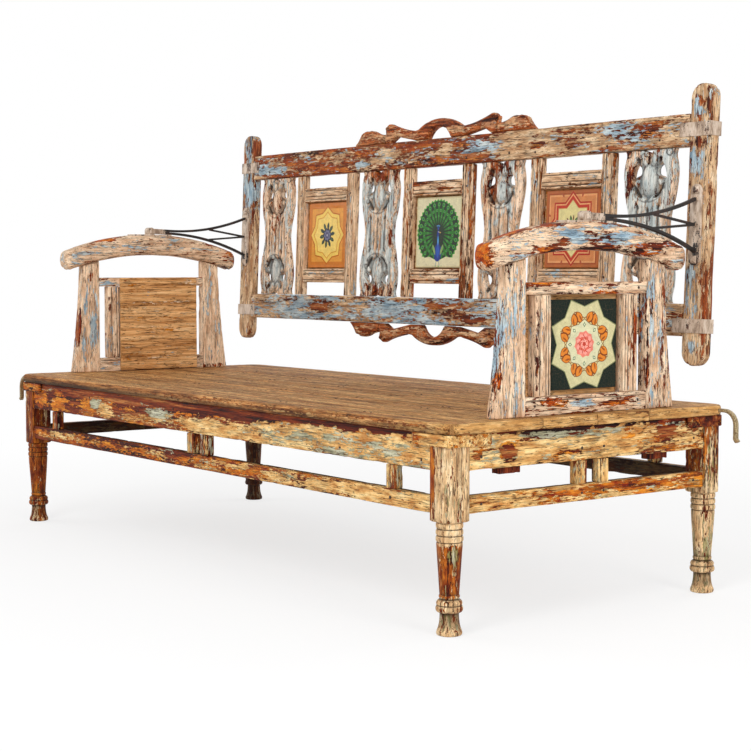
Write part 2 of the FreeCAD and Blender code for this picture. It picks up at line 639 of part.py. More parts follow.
def arm_post(label, side, turned):
    """An arm post: flared foot, top cut to the arch, and a tenon down through the seat."""
    body = new_body(label)
    inside = "-1*" + POST_INNER
    outside = "-1*" + POST_HEAD
    drop = "(%s-%s)" % (arch_under(POST_INNER), arch_under(POST_HEAD))
    top_chord = "sqrt((%s-%s)^2+%s^2)" % (POST_HEAD, POST_INNER, drop)
    face = [("-1*" + POST_FOOT, "seat_top"), (inside, "seat_top"),
            (inside, arch_under(POST_INNER), rise("arm_under_round", top_chord)),
            (outside, arch_under(POST_HEAD), "-post_hollow")]
    cheek = pad(body, draw(body, "YZ_Plane", "0", face), "post_thick")
    ease(body, cheek, long_edges(cheek, "Z"), "board_ease")
    tongue = rectangle(inside + "-tenon_in-tenon_wide", inside + "-tenon_in",
                       "seat_top-tenon_long", "seat_top")
    pad(body, draw(body, "YZ_Plane", "0", tongue), "tenon_thick")
    stand(body, "%s%s" % (side, ARM_X), "0", turned)
    return body


def arm_rail(label, side):
    """The arched arm rail, bevelled all round, with a flat at its middle for the lug plate."""
    body = new_body(label)
    top_end = arch_top(ARM_HALF)
    under_end = arch_under(ARM_HALF)
    span = "2*" + ARM_HALF
    tip = "(%s+arm_nose)" % ARM_HALF
    outline = [("-1*" + ARM_HALF, under_end, "-1*%s" % rise("arm_under_round", span)),
               (ARM_HALF, under_end), (tip, under_end + "+arm_blunt"), (tip, top_end + "-arm_blunt"),
               (ARM_HALF, top_end, rise("arm_top_round", span)),
               ("-1*" + ARM_HALF, top_end), ("-1*" + tip, top_end + "-arm_blunt"),
               ("-1*" + tip, under_end + "+arm_blunt")]
    rail = pad(body, draw(body, "YZ_Plane", "0", outline), "arm_wide")
    doc.recompute()
    edges = []
    for spot, edge in enumerate(rail.Shape.Edges, start=1):
        if edge.BoundBox.XLength < rail.Shape.BoundBox.XLength / 2:
            edges.append("Edge%d" % spot)
    ease(body, rail, edges, "arm_soft")
    flat = rectangle("-1*" + FLAT_HALF, FLAT_HALF, ARM_PEAK + "-lug_thick", ARM_PEAK + "+lug_thick")
    pocket(body, draw(body, "YZ_Plane", "0", flat), "2*arm_wide")
    stand(body, "%s%s" % (side, ARM_X))
    return body


def arm_parts(name, side, turned):
    """The pieces of one arm, with the tile's face turned outward."""
    place = "%s%s" % (side, ARM_X)
    parts.append(arm_rail("arm_%s_rail" % name, side))
    parts.append(arm_post("arm_%s_post_front" % name, side, 0))
    parts.append(arm_post("arm_%s_post_rear" % name, side, 180))
    foot = "(seat_top+arm_foot_rail)"
    rails = new_body("arm_%s_frame_rails" % name)
    low = rectangle("-1*" + POST_INNER, POST_INNER, "seat_top", foot)
    high = rectangle("-1*" + POST_INNER, POST_INNER, ARM_HEAD, ARM_HEAD + "+arm_head_rail")
    both = pad(rails, draw(rails, "YZ_Plane", "0", low, high), "arm_rail_thick")
    ease(rails, both, long_edges(both, "Y"), "board_ease")
    stand(rails, place)
    parts.append(rails)
    sticks = new_body("arm_%s_tile_stiles" % name)
    outer = "(%s+tile_stile)" % OPENING_HALF
    near = rectangle("-1*" + outer, "-1*" + OPENING_HALF, foot, ARM_HEAD)
    far = rectangle(OPENING_HALF, outer, foot, ARM_HEAD)
    front = "arm_rail_thick/2-stick_thick/2"
    both = pad(sticks, draw(sticks, "YZ_Plane", front, near, far), "stick_thick")
    ease(sticks, both, long_edges(both, "Z"), "board_ease")
    stand(sticks, place, "0", turned)
    parts.append(sticks)
    panel = new_body("arm_%s_tile_board" % name)
    reach = "(%s+board_over)" % OPENING_HALF
    behind = "arm_rail_thick/2-stick_thick-board_thick/2"
    panel_face = rectangle("-1*" + reach, reach, foot, ARM_HEAD)
    pad(panel, draw(panel, "YZ_Plane", behind, panel_face), "board_thick")
    stand(panel, place, "0", turned)
    parts.append(panel)
    tile = new_body("arm_%s_tile" % name)
    half = "(tile_square/2)"
    square = rectangle("-1*" + half, half, "%s-%s" % (TILE_Z, half), "%s+%s" % (TILE_Z, half))
    pad(tile, draw(tile, "YZ_Plane", "arm_rail_thick/2-stick_thick+tile_thick/2", square), "tile_thick")
    stand(tile, place, "0", turned)
    parts.append(tile)
    lug = new_body("arm_%s_lug" % name)
    flat = "(%s-lug_thick)" % ARM_PEAK
    end = "(lug_half-lug_swell)"
    plan = [("-lug_wide/2", "-1*" + end, "lug_swell"), ("lug_wide/2", "-1*" + end),
            ("lug_wide/2", end, "lug_swell"), ("-lug_wide/2", end)]
    pad(lug, draw(lug, "XY_Plane", flat, plan), "lug_thick", both_ways=False)
    ear = [("-eye_round", flat), ("eye_round", flat), ("eye_round", PIVOT_Z, "eye_round"),
           ("-eye_round", PIVOT_Z)]
    ear_at = "(fork_thick/2+side_play+ear_thick/2)"
    for way in ("-1*", "1*"):
        pad(lug, draw(lug, "YZ_Plane", way + ear_at, ear), "ear_thick")
    hole = ("round", "0", PIVOT_Z, "pin_wide/2")
    pocket(lug, draw(lug, "YZ_Plane", "0", hole), "lug_wide")
    stand(lug, place)
    parts.append(lug)


arm_parts("right", "1*", 0)
arm_parts("left", "-1*", 180)

# A pin runs through both ears of its lug and has a square forged head at each end.
pins = new_body("pivot_pins")
grip = "(fork_thick/2+side_play+ear_thick)"
head_half = "(rivet_wide/2)"
for side in ("-1*", "1*"):
    middle = "(%s%s)" % (side, ARM_X)
    pad(pins, draw(pins, "YZ_Plane", middle, ("round", "0", "0", "pin_wide/2")), "2*" + grip)
    for way in ("-1*", "1*"):
        square = rectangle("-1*" + head_half, head_half, "-1*" + head_half, head_half)
        head_at = "%s+%s(%s+rivet_tall/2)" % (middle, way, grip)
        pad(pins, draw(pins, "YZ_Plane", head_at, square), "rivet_tall")
pins.Placement = FreeCAD.Placement(FreeCAD.Vector(0, 0, number(PIVOT_Z)), FreeCAD.Rotation())
pins.setExpression("Placement.Base.z", cell(PIVOT_Z))
parts.append(pins)


# ---------------------------------------------------------------- the swinging back

def fork(label, side):
    """A forged fork: eye, joined shank, two bowed bars, two braces and the plate on the stile."""
    body = new_body(label)
    at = side + ARM_X
    near_plate = "(%s-plate_thick)" % FORK_REACH
    eye = ("round", "0", "0", "eye_round")
    pad(body, draw(body, "YZ_Plane", at, eye), "fork_thick")
    shank = rectangle("0", "shank_long", "-shank_half", "shank_half")
    pad(body, draw(body, "YZ_Plane", at, shank), "fork_thick")
    bar = [("shank_long-tine_bar", "bar_slit/2"), ("shank_long", "bar_slit/2", "tine_bow"),
           (near_plate, "tine_spread-tine_bar/2"), (near_plate, "tine_spread+tine_bar/2", "-1*tine_bow"),
           ("shank_long", "shank_half"), ("shank_long-tine_bar", "shank_half")]
    brace_out = "(%s-brace_long)" % near_plate
    brace = [(brace_out, "brace_gap-brace_bar/2"), (near_plate, "-brace_bar/2"),
             (near_plate, "brace_bar/2"), (brace_out, "brace_gap+brace_bar/2")]
    for loop in (bar, flip(bar, "y")):
        pad(body, draw(body, "YZ_Plane", at, loop), "fork_thick")
    for loop in (brace, flip(brace, "y")):
        pad(body, draw(body, "YZ_Plane", at, loop), "brace_thick")
    plate_at = "%s-plate_thick/2" % FORK_REACH
    round_end = "(plate_wide/2)"
    x0 = "%s-%s" % (at, round_end)
    x1 = "%s+%s" % (at, round_end)
    plate = [(x0, "-plate_half+%s" % round_end, round_end), (x1, "-plate_half+%s" % round_end),
             (x1, "plate_half-%s" % round_end, round_end), (x0, "plate_half-%s" % round_end)]
    pad(body, draw(body, "XZ_Plane", plate_at, plate), "plate_thick")
    hole = ("round", "0", "0", "pin_wide/2+pin_play")
    pocket(body, draw(body, "YZ_Plane", at, hole), "2*fork_thick")
    pocket(body, draw(body, "XZ_Plane", plate_at, *bolt_squares(at, "bolt_wide")), "2*plate_thick")
    hang(body)
    return body


def bolt_squares(across, wide):
    """A square for each of the two bolts at one end of the back."""
    squares = []
    for way in ("-1*", "1*"):
        squares.append(rectangle("%s-%s/2" % (across, wide), "%s+%s/2" % (across, wide),
                                 "%sbolt_place-%s/2" % (way, wide), "%sbolt_place+%s/2" % (way, wide)))
    return squares


def back_stile(label, side):
    """An end stile of the back with round ends, cut through for the fork's bolts."""
    body = new_body(label)
    middle = side + ARM_X
    x0 = "%s-stile_wide/2" % middle
    x1 = "%s+stile_wide/2" % middle
    end = "(%s-stile_wide/2)" % STILE_HALF
    outline = [(x0, "-1*" + end, "stile_wide/2"), (x1, "-1*" + end), (x1, end, "stile_wide/2"), (x0, end)]
    pad(body, draw(body, "XZ_Plane", BACK_MIDDLE, outline), "back_thick")
    pocket(body, draw(body, "XZ_Plane", BACK_MIDDLE, *bolt_squares(middle, "bolt_wide")), "2*back_thick")
    hang(body)
    return body


def back_rail(label, side):
    """A rail of the back, between the stiles."""
    reach = "(%s-stile_wide/2)" % ARM_X
    low, high = sorted((side + RAIL_INNER, side + RAIL_OUTER), key=number)
    body = board(label, "X", "-1*" + reach, reach, FORK_REACH, FORK_REACH + "+back_thick", low, high)
    hang(body)
    return body


def splat(label, step):
    """A carved and pierced splat, alike at top and bottom and at front and rear."""
    body = new_body(label)
    middle = "(%s*%s)" % (step, BAY)
    notch = "(%s-scroll_down)" % RAIL_INNER
    shoulder = "(%s-shoulder_down)" % RAIL_INNER
    under = "(%s-shoulder_tall)" % shoulder
    quarter = [("splat_waist", "0", "-waist_in"), ("splat_shoulder", under),
               ("splat_shoulder", shoulder, "scroll_swell"), ("scroll_notch", notch),
               ("splat_end", RAIL_INNER), ("mouth_half", RAIL_INNER), ("0", RAIL_INNER + "-mouth_deep")]
    left = flip(quarter, "x")
    loop = quarter + left[1:-1] + flip(left, "y") + flip(quarter, "y")[1:-1]
    loop = [("%s+%s" % (middle, corner[0]),) + corner[1:] for corner in loop]
    pad(body, draw(body, "XZ_Plane", BACK_MIDDLE, loop), "splat_thick")
    drop = [("-drop_half/2", "-drop_tall"), ("drop_half/2", "-drop_tall"), ("drop_half", "-drop_tall/3"),
            ("0", "drop_tall"), ("-drop_half", "-drop_tall/3")]
    holes = []
    for side in ("-1*", "1*"):
        across = "%s+%sheart_place" % (middle, side)
        for way in ("-1*", "1*"):
            level = "%s(%s-heart_down)" % (way, RAIL_INNER)
            holes.append([("%s+%s" % (across, x), "%s+%s" % (level, y)) for x, y in drop])
    pocket(body, draw(body, "XZ_Plane", BACK_MIDDLE, *holes), "2*splat_thick")
    hang(body)
    return body


def tile_frame(label, step):
    """The four sticks round a tile of the back."""
    middle = "(%s*%s)" % (step, BAY)
    outer = "(%s+frame_stick)" % OPENING_HALF
    sticks = []
    for way in ("-1*", "1*"):
        edges = ("%s+%s%s" % (middle, way, outer), "%s+%s%s" % (middle, way, OPENING_HALF))
        edges = sorted(edges, key=number)
        sticks.append(box(edges[0], edges[1], FRAME_NEAR, FRAME_FAR, "-1*" + RAIL_INNER, RAIL_INNER))
        levels = sorted((way + FRAME_HALF, "%s(%s+frame_stick)" % (way, FRAME_HALF)), key=number)
        sticks.append(box("%s-%s" % (middle, OPENING_HALF), "%s+%s" % (middle, OPENING_HALF),
                          FRAME_NEAR, FRAME_FAR, levels[0], levels[1]))
    frame = group(label, sticks)
    hang(frame)
    return frame


def tile_board(step):
    """The board behind a tile of the back."""
    middle = "(%s*%s)" % (step, BAY)
    reach = "(%s+board_over)" % OPENING_HALF
    tall = "(%s+board_over)" % FRAME_HALF
    return box("%s-%s" % (middle, reach), "%s+%s" % (middle, reach), FRAME_FAR, FRAME_FAR + "+back_board",
               "-1*" + tall, tall)


def back_tile(label, step):
    """A tile of the back, lying on its board inside the frame."""
    body = new_body(label)
    middle = "(%s*%s)" % (step, BAY)
    half = "(tile_square/2)"
    square = rectangle("%s-%s" % (middle, half), "%s+%s" % (middle, half), "-1*" + half, half)
    pad(body, draw(body, "XZ_Plane", FRAME_FAR + "-tile_thick/2", square), "tile_thick")
    hang(body)
    return body


def crest(label, side):
    """A scrolled crest: an arch at the middle, a ribbon over a gap, and a lobe at each end."""
    body = new_body(label)
    right = [("crest_mouth", "0"), ("ribbon_from", "0"), ("ribbon_to-ribbon_slope", "ribbon_gap"),
             ("ribbon_to", "0"), ("crest_half", "0"), ("lobe_to", "lobe_high", "lobe_swell"),
             ("lobe_from", "lobe_high"), ("ribbon_tip", "ribbon_drop"),
             ("ribbon_tip", "ribbon_high-ribbon_fall"),
             ("ribbon_tip-ribbon_curl", "ribbon_high", "-ribbon_hollow"),
             ("crest_arch", "crest_dip", "crest_swell")]
    right, left = both_halves(right + [("0", "crest_peak")], "-1*crest_mouth_tall")
    loop = right[:-1] + [("0", "crest_peak", "crest_swell")] + left[1:]
    loop = [(corner[0], "%s+%s" % (RAIL_OUTER, corner[1])) + corner[2:] for corner in loop]
    if side == "-1*":
        loop = flip(loop, "y")
    pad(body, draw(body, "XZ_Plane", BACK_MIDDLE, loop), "crest_thick")
    hang(body)
    return body


for name, side in (("right", "1*"), ("left", "-1*")):
    parts.append(fork("fork_%s" % name, side))
    parts.append(back_stile("back_stile_%s" % name, side))
for name, side in (("top", "1*"), ("bottom", "-1*")):
    parts.append(back_rail("back_rail_%s" % name, side))
    parts.append(crest("crest_%s" % name, side))
for name, step in (("far_left", "-3"), ("left", "-1"), ("right", "1"), ("far_right", "3")):
    parts.append(splat("splat_%s" % name, step))
for name, step in (("left", "-2"), ("middle", "0"), ("right", "2")):
    parts.append(tile_frame("tile_frame_%s" % name, step))
    parts.append(back_tile("tile_%s" % name, step))
boards = group("back_tile_boards", [tile_board(step) for step in ("-2", "0", "2")])
hang(boards)
parts.append(boards)

# A strap wraps the outside of a stile and lies on both faces of the rail's end.
straps = new_body("rail_straps")
for side in ("-1*", "1*"):
    for level in ("(%s+strap_high)" % RAIL_INNER, "-1*(%s+strap_low)" % RAIL_INNER):
        inner = "(%s-stile_wide/2-strap_on_rail)" % ARM_X
        outer = "(%s+stile_wide/2)" % ARM_X
        rear = "(%s+back_thick)" % FORK_REACH
        near = "%s-strap_thick" % FORK_REACH
        wrap = [(inner, near), ("%s+strap_thick" % outer, near),
                ("%s+strap_thick" % outer, "%s+strap_thick" % rear), (inner, "%s+strap_thick" % rear),
                (inner, rear), (outer, rear), (outer, FORK_REACH), (inner, FORK_REACH)]
        if side == "-1*":
            wrap = [("-1*(%s)" % x, y) for x, y in reversed(wrap)]
        pad(straps, draw(straps, "XY_Plane", level, wrap), "strap_tall")
hang(straps)
parts.append(straps)

# A square bolt runs through the fork's plate and the stile. Its head is forged to a blunt pyramid,
# and its other end is riveted over a small plate.
bolts = new_body("fork_bolts")
HEAD_FACE = "(%s-plate_thick)" % FORK_REACH
STILE_FACE = "(%s+back_thick)" % FORK_REACH
ends = ("-1*" + ARM_X, ARM_X)
heads = [square for end in ends for square in bolt_squares(end, "bolt_head")]
shanks = [square for end in ends for square in bolt_squares(end, "bolt_wide")]
nuts = [square for end in ends for square in bolt_squares(end, "nut_wide")]
head = pad(bolts, draw(bolts, "XZ_Plane", HEAD_FACE + "-head_tall/2", *heads), "head_tall")
doc.recompute()
front_edges = []
for spot, edge in enumerate(head.Shape.Edges, start=1):
    if edge.BoundBox.YMax < number(HEAD_FACE + "-head_tall/2"):
        front_edges.append("Edge%d" % spot)
ease(bolts, head, front_edges, "head_slant")
pad(bolts, draw(bolts, "XZ_Plane", "(%s+%s)/2" % (HEAD_FACE, STILE_FACE), *shanks), "plate_thick+back_thick")
pad(bolts, draw(bolts, "XZ_Plane", STILE_FACE + "+nut_tall/2", *nuts), "nut_tall")
hang(bolts)
parts.append(bolts)


# ---------------------------------------------------------------- check and write

doc.recompute()
for entry in doc.Objects:
    if "Invalid" in entry.State or "Error" in entry.State:
        raise RuntimeError("%s (%s) failed: %s" % (entry.Name, entry.Label, entry.State))
for part in parts:
    if part.Shape.isNull() or not part.Shape.isValid() or not part.Shape.Solids:
        raise RuntimeError("%s has no sound solid" % part.Label)

os.makedirs("parts", exist_ok=True)
for part in parts:
    part.Shape.exportStep("parts/%s.step" % part.Label)
print("%d parts, %d solids" % (len(parts), sum(len(part.Shape.Solids) for part in parts)))
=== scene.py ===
"""A takht bench in worn painted wood, with glazed tiles and forged iron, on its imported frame.

Pieces are drawn in millimetres and turned into meshes in metres. The bench is drawn in the
frame's own axes. The back is drawn from the pins: x along the bench, y along the forks and z up
its face, and BACK leans it to its place.
"""
import json
from itertools import count
from math import cos, pi, radians, sin

import bpy
import numpy as np
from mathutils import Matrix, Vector, geometry


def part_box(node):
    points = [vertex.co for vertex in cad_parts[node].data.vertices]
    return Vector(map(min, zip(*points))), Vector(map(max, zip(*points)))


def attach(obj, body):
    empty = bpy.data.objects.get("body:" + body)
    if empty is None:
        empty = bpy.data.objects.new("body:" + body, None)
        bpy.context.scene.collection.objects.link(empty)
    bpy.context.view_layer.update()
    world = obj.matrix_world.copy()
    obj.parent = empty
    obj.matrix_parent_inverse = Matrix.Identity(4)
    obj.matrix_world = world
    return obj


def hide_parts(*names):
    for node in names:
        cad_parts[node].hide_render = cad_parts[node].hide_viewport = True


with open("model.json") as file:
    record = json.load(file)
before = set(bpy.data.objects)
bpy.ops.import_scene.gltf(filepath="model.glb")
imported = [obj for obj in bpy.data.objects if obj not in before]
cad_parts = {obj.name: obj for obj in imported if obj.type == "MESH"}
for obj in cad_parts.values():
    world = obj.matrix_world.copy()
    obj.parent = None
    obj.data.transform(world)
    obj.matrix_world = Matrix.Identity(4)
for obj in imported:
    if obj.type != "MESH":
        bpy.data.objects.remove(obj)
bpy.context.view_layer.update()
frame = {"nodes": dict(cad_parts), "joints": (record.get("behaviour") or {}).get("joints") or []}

# ---------------------------------------------------------------- places

swing = frame["joints"][0]
lean = radians((180 - swing["range_deg"][1]) / 2)
PIVOT = np.array(swing["pos_m"]) * 1000
BENCH = ("bench", np.zeros(3), np.eye(3))
BACK = ("back", PIVOT, np.array([[1, 0, 0], [0, cos(lean), -sin(lean)], [0, sin(lean), cos(lean)]]))


def box_of(node):
    """A node's lowest and highest corner in millimetres."""
    return [[round(part * 1000, 2) for part in corner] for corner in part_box(node)]


(_, PLANK_EDGE, SEAT_UNDER), (SEAT_HALF_LONG, SEAT_HALF_DEEP, SEAT_TOP) = box_of("seat_plank_rear")
(LEG_INNER, _, _), (LEG_X, LEG_Y, _) = box_of("leg_rear_right")
LEG_HALF = (LEG_X - LEG_INNER) / 2
APRON_UNDER = box_of("apron_front")[0][2]
STRETCHER_TOP = box_of("stretcher_front")[1][2]
ARM_X = sum(corner[0] for corner in box_of("arm_right_rail")) / 2
BAY = round(sum(corner[0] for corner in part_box("tile_right")) * 1000 / 4, 2)
TILE_HALF = box_of("tile_middle")[1][0]

SEAT_CLIP, LEG_CLIP = 24, 10
BATTEN_STEP, BATTEN_HALF, BATTEN_THICK = 345, 35, 20
SPACER_PLACES, SPACER_PAIR = (-830, -34, 34, 830), (-34, 34)
BACK_FACE, BACK_MIDDLE, BACK_REAR = 367, 383, 399
RAIL_INNER, RAIL_OUTER = 188, 267
FRAME_NEAR, FRAME_FAR = 372, 392

seeds = count(1)


# ---------------------------------------------------------------- unevenness

def scatter(cells, seed):
    """A number from 0 to 1 for each cell of a lattice."""
    mixed = cells[:, 0] * 73856093 ^ cells[:, 1] * 19349663 ^ cells[:, 2] * 83492791 ^ seed * 97531
    mixed = ((mixed ^ (mixed >> 13)) & 0xFFFFF) * 1274126177
    mixed = (mixed ^ (mixed >> 16)) & 0xFFFFFF
    return mixed / 0xFFFFFF


def ripple(points, size, seed):
    """Smooth unevenness from -1 to 1 whose waves have the given size along each axis."""
    points = points / np.array(size, float)
    low = np.floor(points).astype(np.int64)
    part = points - low
    part = part * part * (3 - 2 * part)
    total = np.zeros(len(points))
    for corner in range(8):
        step = np.array([corner & 1, corner >> 1 & 1, corner >> 2 & 1])
        total += np.prod(np.where(step, part, 1 - part), axis=1) * scatter(low + step, seed)
    return 2 * total - 1


def notches(points, to_edge, seed):
    """Depth of the nicks along a worn edge."""
    deep = np.clip((ripple(points, (26, 11, 11), seed) - 0.45) / 0.4, 0, 1)
    return deep * np.clip(1 - to_edge / 8, 0, 1) * 2.4


# ---------------------------------------------------------------- shapes

class Shape:
    """Points in millimetres, faces, and what the finishes read at each point: grain, wear and painted shade.
    """

    def __init__(self, points, faces, grain, wear, painted_shade):
        self.points, self.faces = points, faces
        self.grain, self.wear, self.painted_shade = grain, wear, painted_shade

    def __add__(self, other):
        shift = len(self.points)
        faces = self.faces + [[corner + shift for corner in face] for face in other.faces]
        return Shape(np.concatenate([self.points, other.points]), faces,
                     np.concatenate([self.grain, other.grain]),
                     np.concatenate([self.wear, other.wear]),
                     np.concatenate([self.painted_shade, other.painted_shade]))


def joined(shapes):
    """Several shapes as one."""
    whole = shapes[0]
    for shape in shapes[1:]:
        whole = whole + shape
    return whole


def lattice(rows):
    """Corners and faces of a closed block over three rows of stops."""
    shell = np.zeros([len(row) for row in rows], bool)
    shell[[0, -1]] = True
    shell[:, [0, -1]] = True
    shell[:, :, [0, -1]] = True
    index = np.full(shell.shape, -1)
    index[shell] = np.arange(shell.sum())
    spots = np.nonzero(shell)
    points = np.stack([np.array(row)[spot] for row, spot in zip(rows, spots)], axis=1)
    faces = []
    sides = ((index[0], False), (index[-1], True), (index[:, 0], True), (index[:, -1], False),
             (index[:, :, 0], False), (index[:, :, -1], True))
    for grid, outward in sides:
        quads = np.stack([grid[:-1, :-1], grid[1:, :-1], grid[1:, 1:], grid[:-1, 1:]], axis=-1)
        quads = quads.reshape(-1, 4)
        faces += (quads if outward else quads[:, ::-1]).tolist()
    return points, faces


def stops(length, edge, pitch, extra=()):
    """Places along a side: close together near its ends and at the extra ones."""
    near = [0, 0.35 * edge, 0.8 * edge, 1.5 * edge]
    near = [place for place in near if place < length / 2]
    last = near[-1]
    parts = max(1, int(np.ceil((length - 2 * last) / pitch)))
    row = near + list(np.linspace(last, length - last, parts + 1)) + [length - place for place in near]
    row += list(extra)
    row = np.unique(np.round(row, 3))
    return row[np.concatenate([[True], np.diff(row) > 0.15])]


def grain_of(points, axis, seed):
    """Wood-grain coordinates in metres: the first runs along the grain."""
    order = [axis] + [other for other in range(3) if other != axis]
    return points[:, order] / 1000 + np.array([0.713, 0.397, 0.531]) * seed


def block(low, high, along="x", edge=3.0, step=13.0, grooves=(), wild=1.0):
    """A board with uneven rounded edges, dents and nicks.

    A groove is (axis across it, place, width, depth, axis of the faces it is cut in).
    """
    seed = next(seeds)
    low, high = np.array(low, float), np.array(high, float)
    size = high - low
    edge = min(edge, size.min() * 0.28)
    axis = "xyz".index(along)
    rows = []
    for way in range(3):
        extra = []
        for across, place, width, _, _ in grooves:
            if across == way:
                extra += [place - low[way] + width * share for share in (-0.5, -0.25, 0, 0.25, 0.5)]
        rows.append(stops(size[way], edge, step if way == axis else min(step, 9.0), extra))
    points, faces = lattice(rows)
    half = size / 2
    centred = points - half
    room = np.sort(half - abs(centred), axis=1)
    to_edge = room[:, 1]
    grained = (points + low)[:, [axis] + [way for way in range(3) if way != axis]]
    radius = edge * (1 + 0.42 * ripple(grained, (55, 40, 40), seed))
    core = np.clip(centred, radius[:, None] - half, half - radius[:, None])
    outward = centred - core
    outward /= np.linalg.norm(outward, axis=1)[:, None]
    nicks = notches(grained, to_edge, seed + 500) * wild
    dents = 0.35 * wild * (1 + ripple(grained, (70, 13, 13), seed + 900))
    painted_shade = np.zeros(len(points))
    flat = half - abs(centred)
    depth = nicks + dents
    for across, place, width, deep, face in grooves:
        share = np.clip(1 - abs(points[:, across] + low[across] - place) / (width / 2), 0, 1)
        share = np.sqrt(share) * (flat[:, face] < 0.01) * (room[:, 1] > edge)
        depth = depth + deep * share
        # painted shade in the groove
        painted_shade = np.maximum(painted_shade, share)
    centred = core + outward * (radius - depth)[:, None]
    wear = np.clip(1 - to_edge / 13, 0, 1) + 0.4 * nicks
    points = centred + half + low
    return Shape(points, faces, grain_of(points, axis, seed), wear, painted_shade)


def trace(corners, pitch):
    """A dense closed outline through corners (x, y) or (x, y, swell), as the solids are drawn."""
    made = []
    for spot, corner in enumerate(corners):
        here = np.array(corner[:2], float)
        there = np.array(corners[(spot + 1) % len(corners)][:2], float)
        run = there - here
        chord = np.linalg.norm(run)
        if chord < 1e-6:
            continue
        way = run / chord
        right = np.array([way[1], -way[0]])
        swell = corner[2] if len(corner) > 2 else 0
        parts = max(1, int(round((chord + abs(swell)) / pitch)))
        if not swell:
            made += [here + run * part / parts for part in range(parts)]
            continue
        if swell < 0:
            right, swell = -right, -swell
        half_angle = 2 * np.arctan2(2 * swell, chord)
        radius = chord / 2 / sin(half_angle)
        centre = (here + there) / 2 + right * (swell - radius)
        for part in range(parts):
            angle = half_angle * (2 * part / parts - 1)
            made.append(centre + radius * (right * cos(angle) + way * sin(angle)))
    return np.array(made)


def mirrored(corners, axis):
    """A chain of corners reflected across x = 0 (axis 0) or y = 0 (axis 1), still anticlockwise."""
    image = []
    for spot in range(len(corners) - 1, -1, -1):
        spot_xy = list(corners[spot][:2])
        spot_xy[axis] = -spot_xy[axis]
        image.append(tuple(spot_xy) + tuple(corners[spot - 1][2:]))
    return image


def sides_of(rims):
    """Where each side of the rims starts and ends."""
    return np.concatenate(rims), np.concatenate([np.roll(rim, -1, axis=0) for rim in rims])


def to_rim(points, rims):
    """Distance to the nearest side of the rims, and which side that is."""
    starts, ends = sides_of(rims)
    runs = ends - starts
    squares = (runs ** 2).sum(1)
    distances, nearest = [], []
    for some in np.array_split(points, 1 + len(points) * len(starts) // 1500000):
        off = some[:, None] - starts
        share = np.clip((off * runs).sum(2) / squares, 0, 1)
        far = np.linalg.norm(off - share[..., None] * runs, axis=2)
        nearest.append(far.argmin(1))
        distances.append(far.min(1))
    return np.concatenate(distances), np.concatenate(nearest)


def within(points, rims):
    """Whether each point lies inside the rims, by counting crossings."""
    starts, ends = sides_of(rims)
    found = []
    for some in np.array_split(points, 1 + len(points) * len(starts) // 3000000):
        x, y = some[:, 0, None], some[:, 1, None]
        crossed = (starts[:, 1] > y) != (ends[:, 1] > y)
        tall = np.where(ends[:, 1] == starts[:, 1], 1e-9, ends[:, 1] - starts[:, 1])
        at = starts[:, 0] + (y - starts[:, 1]) * (ends[:, 0] - starts[:, 0]) / tall
        found.append((crossed & (x < at)).sum(1) % 2 == 1)
    return np.concatenate(found)


def turned_way(rim, anticlockwise):
    """The rim, running the way that is asked for."""
    after = np.roll(rim, -1, axis=0)
    area = (rim[:, 0] * after[:, 1] - after[:, 0] * rim[:, 1]).sum()
    return rim if (area > 0) == anticlockwise else rim[::-1]


PLANES = {"x": ((0, 1, 0), (0, 0, 1), (1, 0, 0)), "y": ((1, 0, 0), (0, 0, 1), (0, -1, 0)),
          "z": ((1, 0, 0), (0, 1, 0), (0, 0, 1))}
MERGED, NO_AREA = 1e-5, 1e-6


def inner_spots(rims, inward, edge, step):
    """Points that fill a board's face: a grid over it, and rings along its rounded rim."""
    low, high = rims[0].min(0), rims[0].max(0)
    grid = np.stack(np.meshgrid(np.arange(low[0] + step / 2, high[0], step),
                                np.arange(low[1] + step / 2, high[1], step)), axis=-1).reshape(-1, 2)
    grid[:, 0] += step * 0.17 * (np.arange(len(grid)) % 3 - 1)
    far, _ = to_rim(grid, rims)
    spots = [grid[(far > edge * 1.15 + step * 0.3) & within(grid, rims)]]
    for share in (0.12, 0.4, 0.85, 1.3):
        ring = np.concatenate(rims) + inward * edge * share
        far, _ = to_rim(ring, rims)
        ring = ring[(far > edge * share * 0.93) & within(ring, rims)]
        spots.append(ring[:: 1 if share < 1 else 2])
    return np.concatenate(spots)


def filled(rims, inner, lines):
    """Triangles between the rims, through the inner points and along the closed lines.

    Gives the points, the triangles, and which of the points each rim point became.
    """
    drawn, sides = [], []

    def draw(loop):
        first = len(drawn)
        sides.extend((first + spot, first + (spot + 1) % len(loop)) for spot in range(len(loop)))
        drawn.extend(loop)

    for rim in rims:
        draw(rim)
    rim_size = len(drawn)
    drawn.extend(inner)
    for line in lines:
        draw(line)
    made = geometry.delaunay_2d_cdt([Vector(spot) for spot in drawn], sides, [], 0, MERGED, True)
    flat = np.array([tuple(spot) for spot in made[0]])
    triangles = np.array([tuple(face) for face in made[2]])
    place_of = {source: spot for spot, sources in enumerate(made[3]) for source in sources}
    triangles = triangles[within(flat[triangles].mean(1), rims)]
    first, second, third = [flat[triangles[:, way]] for way in range(3)]
    area = np.cross(second - first, third - first)
    triangles, area = triangles[abs(area) > NO_AREA], area[abs(area) > NO_AREA]
    triangles[area < 0] = triangles[area < 0][:, ::-1]
    return flat, triangles, np.array([place_of[spot] for spot in range(rim_size)])


